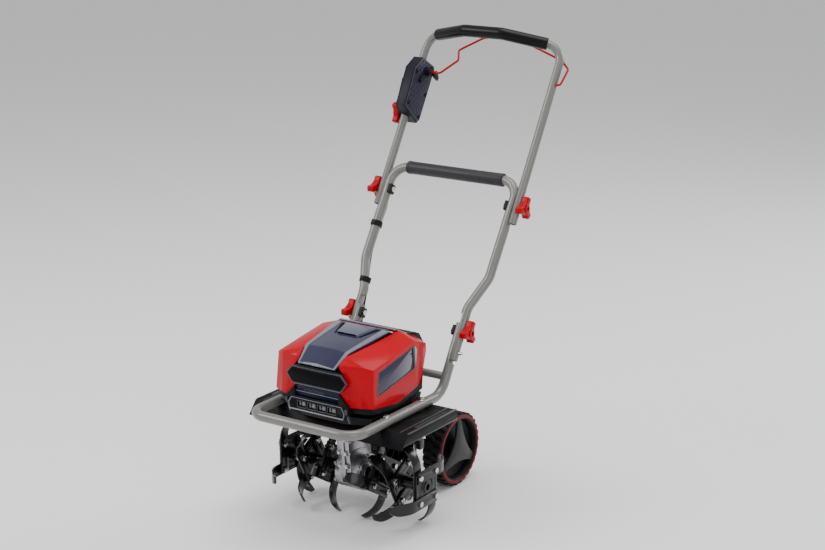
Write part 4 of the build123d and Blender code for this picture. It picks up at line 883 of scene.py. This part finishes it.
def make_gearbox():
    """The cast housing with its round covers, parting flange, ribs and screws."""
    softened("gearbox_housing", 2.0, CASTING, 3)
    bm = bmesh.new()
    for side in SIDES:
        centre = spot(0, 0, AXLE_HIGH)
        cover = [(33, 43), (36.5, 42.5), (37.5, 41), (37.5, 34), (36, 32), (33, 32)]
        lathe(bm, [(side * x, r) for x, r in cover], centre, 72, closed=True)
        lip = [(37, 22), (39.2, 21.2), (39.2, 16), (37, 15.6)]
        lathe(bm, [(side * x, r) for x, r in lip], centre, 60, closed=True)
        for aim in BOLT_AIMS:
            boss = spot(side * 33, BOLT_CIRCLE * cos(aim), AXLE_HIGH + BOLT_CIRCLE * sin(aim))
            lathe(bm, [(0, 6.5), (side * 5.5, 6.3), (side * 6.5, 5.4)], boss, 28)
        for z in (176, 206, 236, 262):
            corners = ((-56, -3), (20, -3), (18, 3), (-57, 3))
            outline = [spot(side * 17.5, y, z + dz) for y, dz in corners]
            prism(bm, outline, Vector((side * 3.5 * MM, 0, 0)))
    attach(rounded(new_object("gearbox_covers", bm, CASTING), 0.9, 2, 45), "chassis")
    bm = bmesh.new()
    flange = [(-58.5, 192), (-49.5, 116), (-46, 100), (-49, 98), (-53, 114), (-62.5, 192), (-70, 277),
              (-66, 277)]
    prism(bm, [spot(-5, y, z) for y, z in flange], Vector((10 * MM, 0, 0)))
    for z in FLANGE_BOLT_Z:
        y = -50 - (z - AXLE_HIGH) * FLANGE_RAKE
        outline = [spot(-15, y - 3, z - 6), spot(15, y - 3, z - 6), spot(12, y - 4, z + 6),
                   spot(-12, y - 4, z + 6)]
        prism(bm, outline, Vector((0, 9 * MM, 0)))
    attach(rounded(new_object("gearbox_flange", bm, CASTING), 1.5, 3, 45), "chassis")
    bm = bmesh.new()
    for side in SIDES:
        for aim in BOLT_AIMS:
            head = spot(side * 39.2, BOLT_CIRCLE * cos(aim), AXLE_HIGH + BOLT_CIRCLE * sin(aim))
            hex_bolt(bm, head, Vector((side, 0, 0)), 7, 3.2)
        for z in FLANGE_BOLT_Z:
            y = -53.4 - (z - AXLE_HIGH) * FLANGE_RAKE
            hex_bolt(bm, spot(side * 10, y, z), Vector((0, -1, 0)), 7, 3.5)
    attach(new_object("gearbox_screws", bm, ZINC), "chassis")


def make_rotor():
    """The tine rotor: star plates with curved slots in painted shade and welds, tines, hubs with collars, and
    screws.
    """
    softened("star_plates", 0.7, TINE_PAINT)
    for name in ("inner", "middle", "outer"):
        softened(f"{name}_tines", 0.9, TINE_PAINT, 3)
    softened("tine_hubs", 0.8, TINE_PAINT)
    softened("tine_bolts", 0.8, ZINC)
    plate_half = 2.25
    # The curved slots are thin near-black plates of painted shade laid on each face of the star plates.
    slots = bmesh.new()
    grooves = bmesh.new()
    for side in SIDES:
        for x, phase in ((78, -31), (140, 28), (208, 0)):
            for face in (-1, 1):
                centre = spot(side * x, 0, AXLE_HIGH)
                at = face * plate_half
                for aim in (30, 150, 270):
                    arc = []
                    for radius, steps in ((25.5, range(0, 9)), (22.5, range(8, -1, -1))):
                        for step in steps:
                            turn = radians(phase + aim - 35 + 70 * step / 8)
                            arc.append(centre + Vector((at, radius * cos(turn), radius * sin(turn))) * MM)
                    prism(slots, arc, Vector((-face * 0.6 * MM, 0, 0)))
                lathe(grooves, [(at, 19.5), (at + face * 1.0, 18.6), (at + face * 1.0, 15.2), (at, 15.2)],
                      centre, 48, closed=True)
    attach(new_object("star_plate_slot_shade", slots, RECESS_SHADE), "tine_rotor")
    attach(new_object("star_plate_welds", grooves, TINE_PAINT), "tine_rotor")
    bm = bmesh.new()
    axle = spot(0, 0, AXLE_HIGH)
    for side in SIDES:
        lathe(bm, [(side * 213.05, 14.5), (side * 213.6, 13.8), (side * 213.6, 8.6), (side * 213.05, 8.2)],
              axle, 48, closed=True)
        for x in (60, 112, 176):
            collar = [(x - 4, 15), (x - 3, 16.6), (x + 3, 16.6), (x + 4, 15)]
            lathe(bm, [(side * along, radius) for along, radius in collar], axle, 48)
    attach(new_object("hub_collars", bm, TINE_PAINT), "tine_rotor")


def make_base():
    """The base with its front louvres, the rear cover with its ribs, and the latch."""
    softened("base_shell", 0.9, BLACK_PLASTIC)
    softened("vent_cover", 1.6, BLACK_PLASTIC)
    softened("hood_latch", 1.8, RED)
    bm = bmesh.new()
    rib = [(112.5, 462.8), (141.5, 452.6), (170.8, 410), (166.8, 392), (160, 392), (163, 408), (137, 448),
           (112, 458)]
    rib_pitch = 21
    for index in range(9):
        x = -84 + rib_pitch * index
        prism(bm, [spot(x - 3, y, z) for y, z in rib], Vector((6 * MM, 0, 0)))
    attach(rounded(new_object("vent_cover_ribs", bm, BLACK_PLASTIC), 1.2), "chassis")
    bm = bmesh.new()
    for side in SIDES:
        for index in range(7):
            share = index / 6
            x = 72 + 48 * share
            y = -131 + 20.5 * share
            outline = [spot(side * (x + dx), y + dy, 291)
                       for dx, dy in ((0, 0), (4, 1.8), (3, 3.4), (-1, 1.6))]
            prism(bm, outline, Vector((0, 0, 24 * MM)))
    attach(rounded(new_object("base_front_louvres", bm, BLACK_PLASTIC), 0.6, 1), "chassis")


def make_cables():
    """The control cable: runs on the tubes, two loops, and its boot."""
    softened("cable_clips", 1.0, BLACK_PLASTIC)
    for node in ("cable_upper", "cable_lower"):
        softened(node, 0.2, CABLE, 1, 60)
    for node, first, second, start, end in (
        ("cable_mid_loop", "lower_handle", "upper_handle", lean(-200, 800, 12), lean(-208, 892, 12)),
        ("cable_low_loop", "chassis", "lower_handle", lean(-140, 448, -5), lean(-140, 542, -5)),
    ):
        loop = new_object(f"{node}_flexible", welded(node), CABLE)
        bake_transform(loop)
        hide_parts(node)
    mouth = lean(-101, 425, -40)
    cable_end = lean(-114, 428, -19)
    turn = Vector((1, 0, 0)).rotation_difference(cable_end - mouth)
    sleeve = [(-17.5, 1), (-17.5, 8.6), (-13, 8.6), (-12, 7.2), (-9, 6.9), (-8.2, 5.8), (-6.6, 5.7),
              (-5.8, 6.5), (-3, 6.1), (-2.2, 5.2), (-0.6, 5.1), (0.2, 5.7), (3, 5.3), (3.8, 4.5),
              (5.4, 4.4), (6.2, 4.9), (9, 4.4), (9.4, 3.1)]
    bm = bmesh.new()
    lathe(bm, sleeve, mouth, 32, turned=turn.to_matrix())
    attach(new_object("cable_boot", bm, BLACK_PLASTIC, 40), "chassis")


# ---------------------------------------------------------------- build
make_stage()
make_camera()

# CAD nodes that only need rounded edges and a material: the rounding in mm, and the material.
PLAIN_EDGES = {
    "bumper_frame": (0.8, GREY_PAINT),
    "rear_cross_tube": (0.6, GREY_PAINT),
    "lower_handle": (0.8, GREY_PAINT),
    "upper_handle": (0.8, GREY_PAINT),
    "chassis_bolts": (0.6, ZINC),
    "low_bolts": (0.6, ZINC),
    "mid_bolts": (0.6, ZINC),
    "low_saddles": (1.0, BLACK_PLASTIC),
    "mid_saddles": (1.0, BLACK_PLASTIC),
    "wheel_bracket": (0.8, BLACK_PAINT),
    "wheel_carrier": (0.8, BLACK_PAINT),
    "wheel_axle": (0.6, STEEL),
    "bail": (0.3, RED_WIRE),
    "bearings": (0.4, STEEL),
    "motor_can": (1.0, STEEL),
    "lid_hinge_pin": (0.3, STEEL),
    "battery_packs": (2.5, BLACK_PLASTIC),
    "control_board": (0.3, BOARD),
    "worm": (0.4, STEEL),
    "motor_rotor": (0.5, STEEL),
    "tine_shaft": (0.6, STEEL),
    "worm_wheel": (0.6, STEEL),
    "clamp_bolt": (0.5, ZINC),
}
for node, (width, look) in PLAIN_EDGES.items():
    softened(node, width, look)
make_hood()
make_lid()
make_front()
make_base()
for side in SIDES:
    make_wheel(side)
make_joints()
make_switch_box()
make_grips()
make_deck()
make_gearbox()
make_rotor()
make_cables()
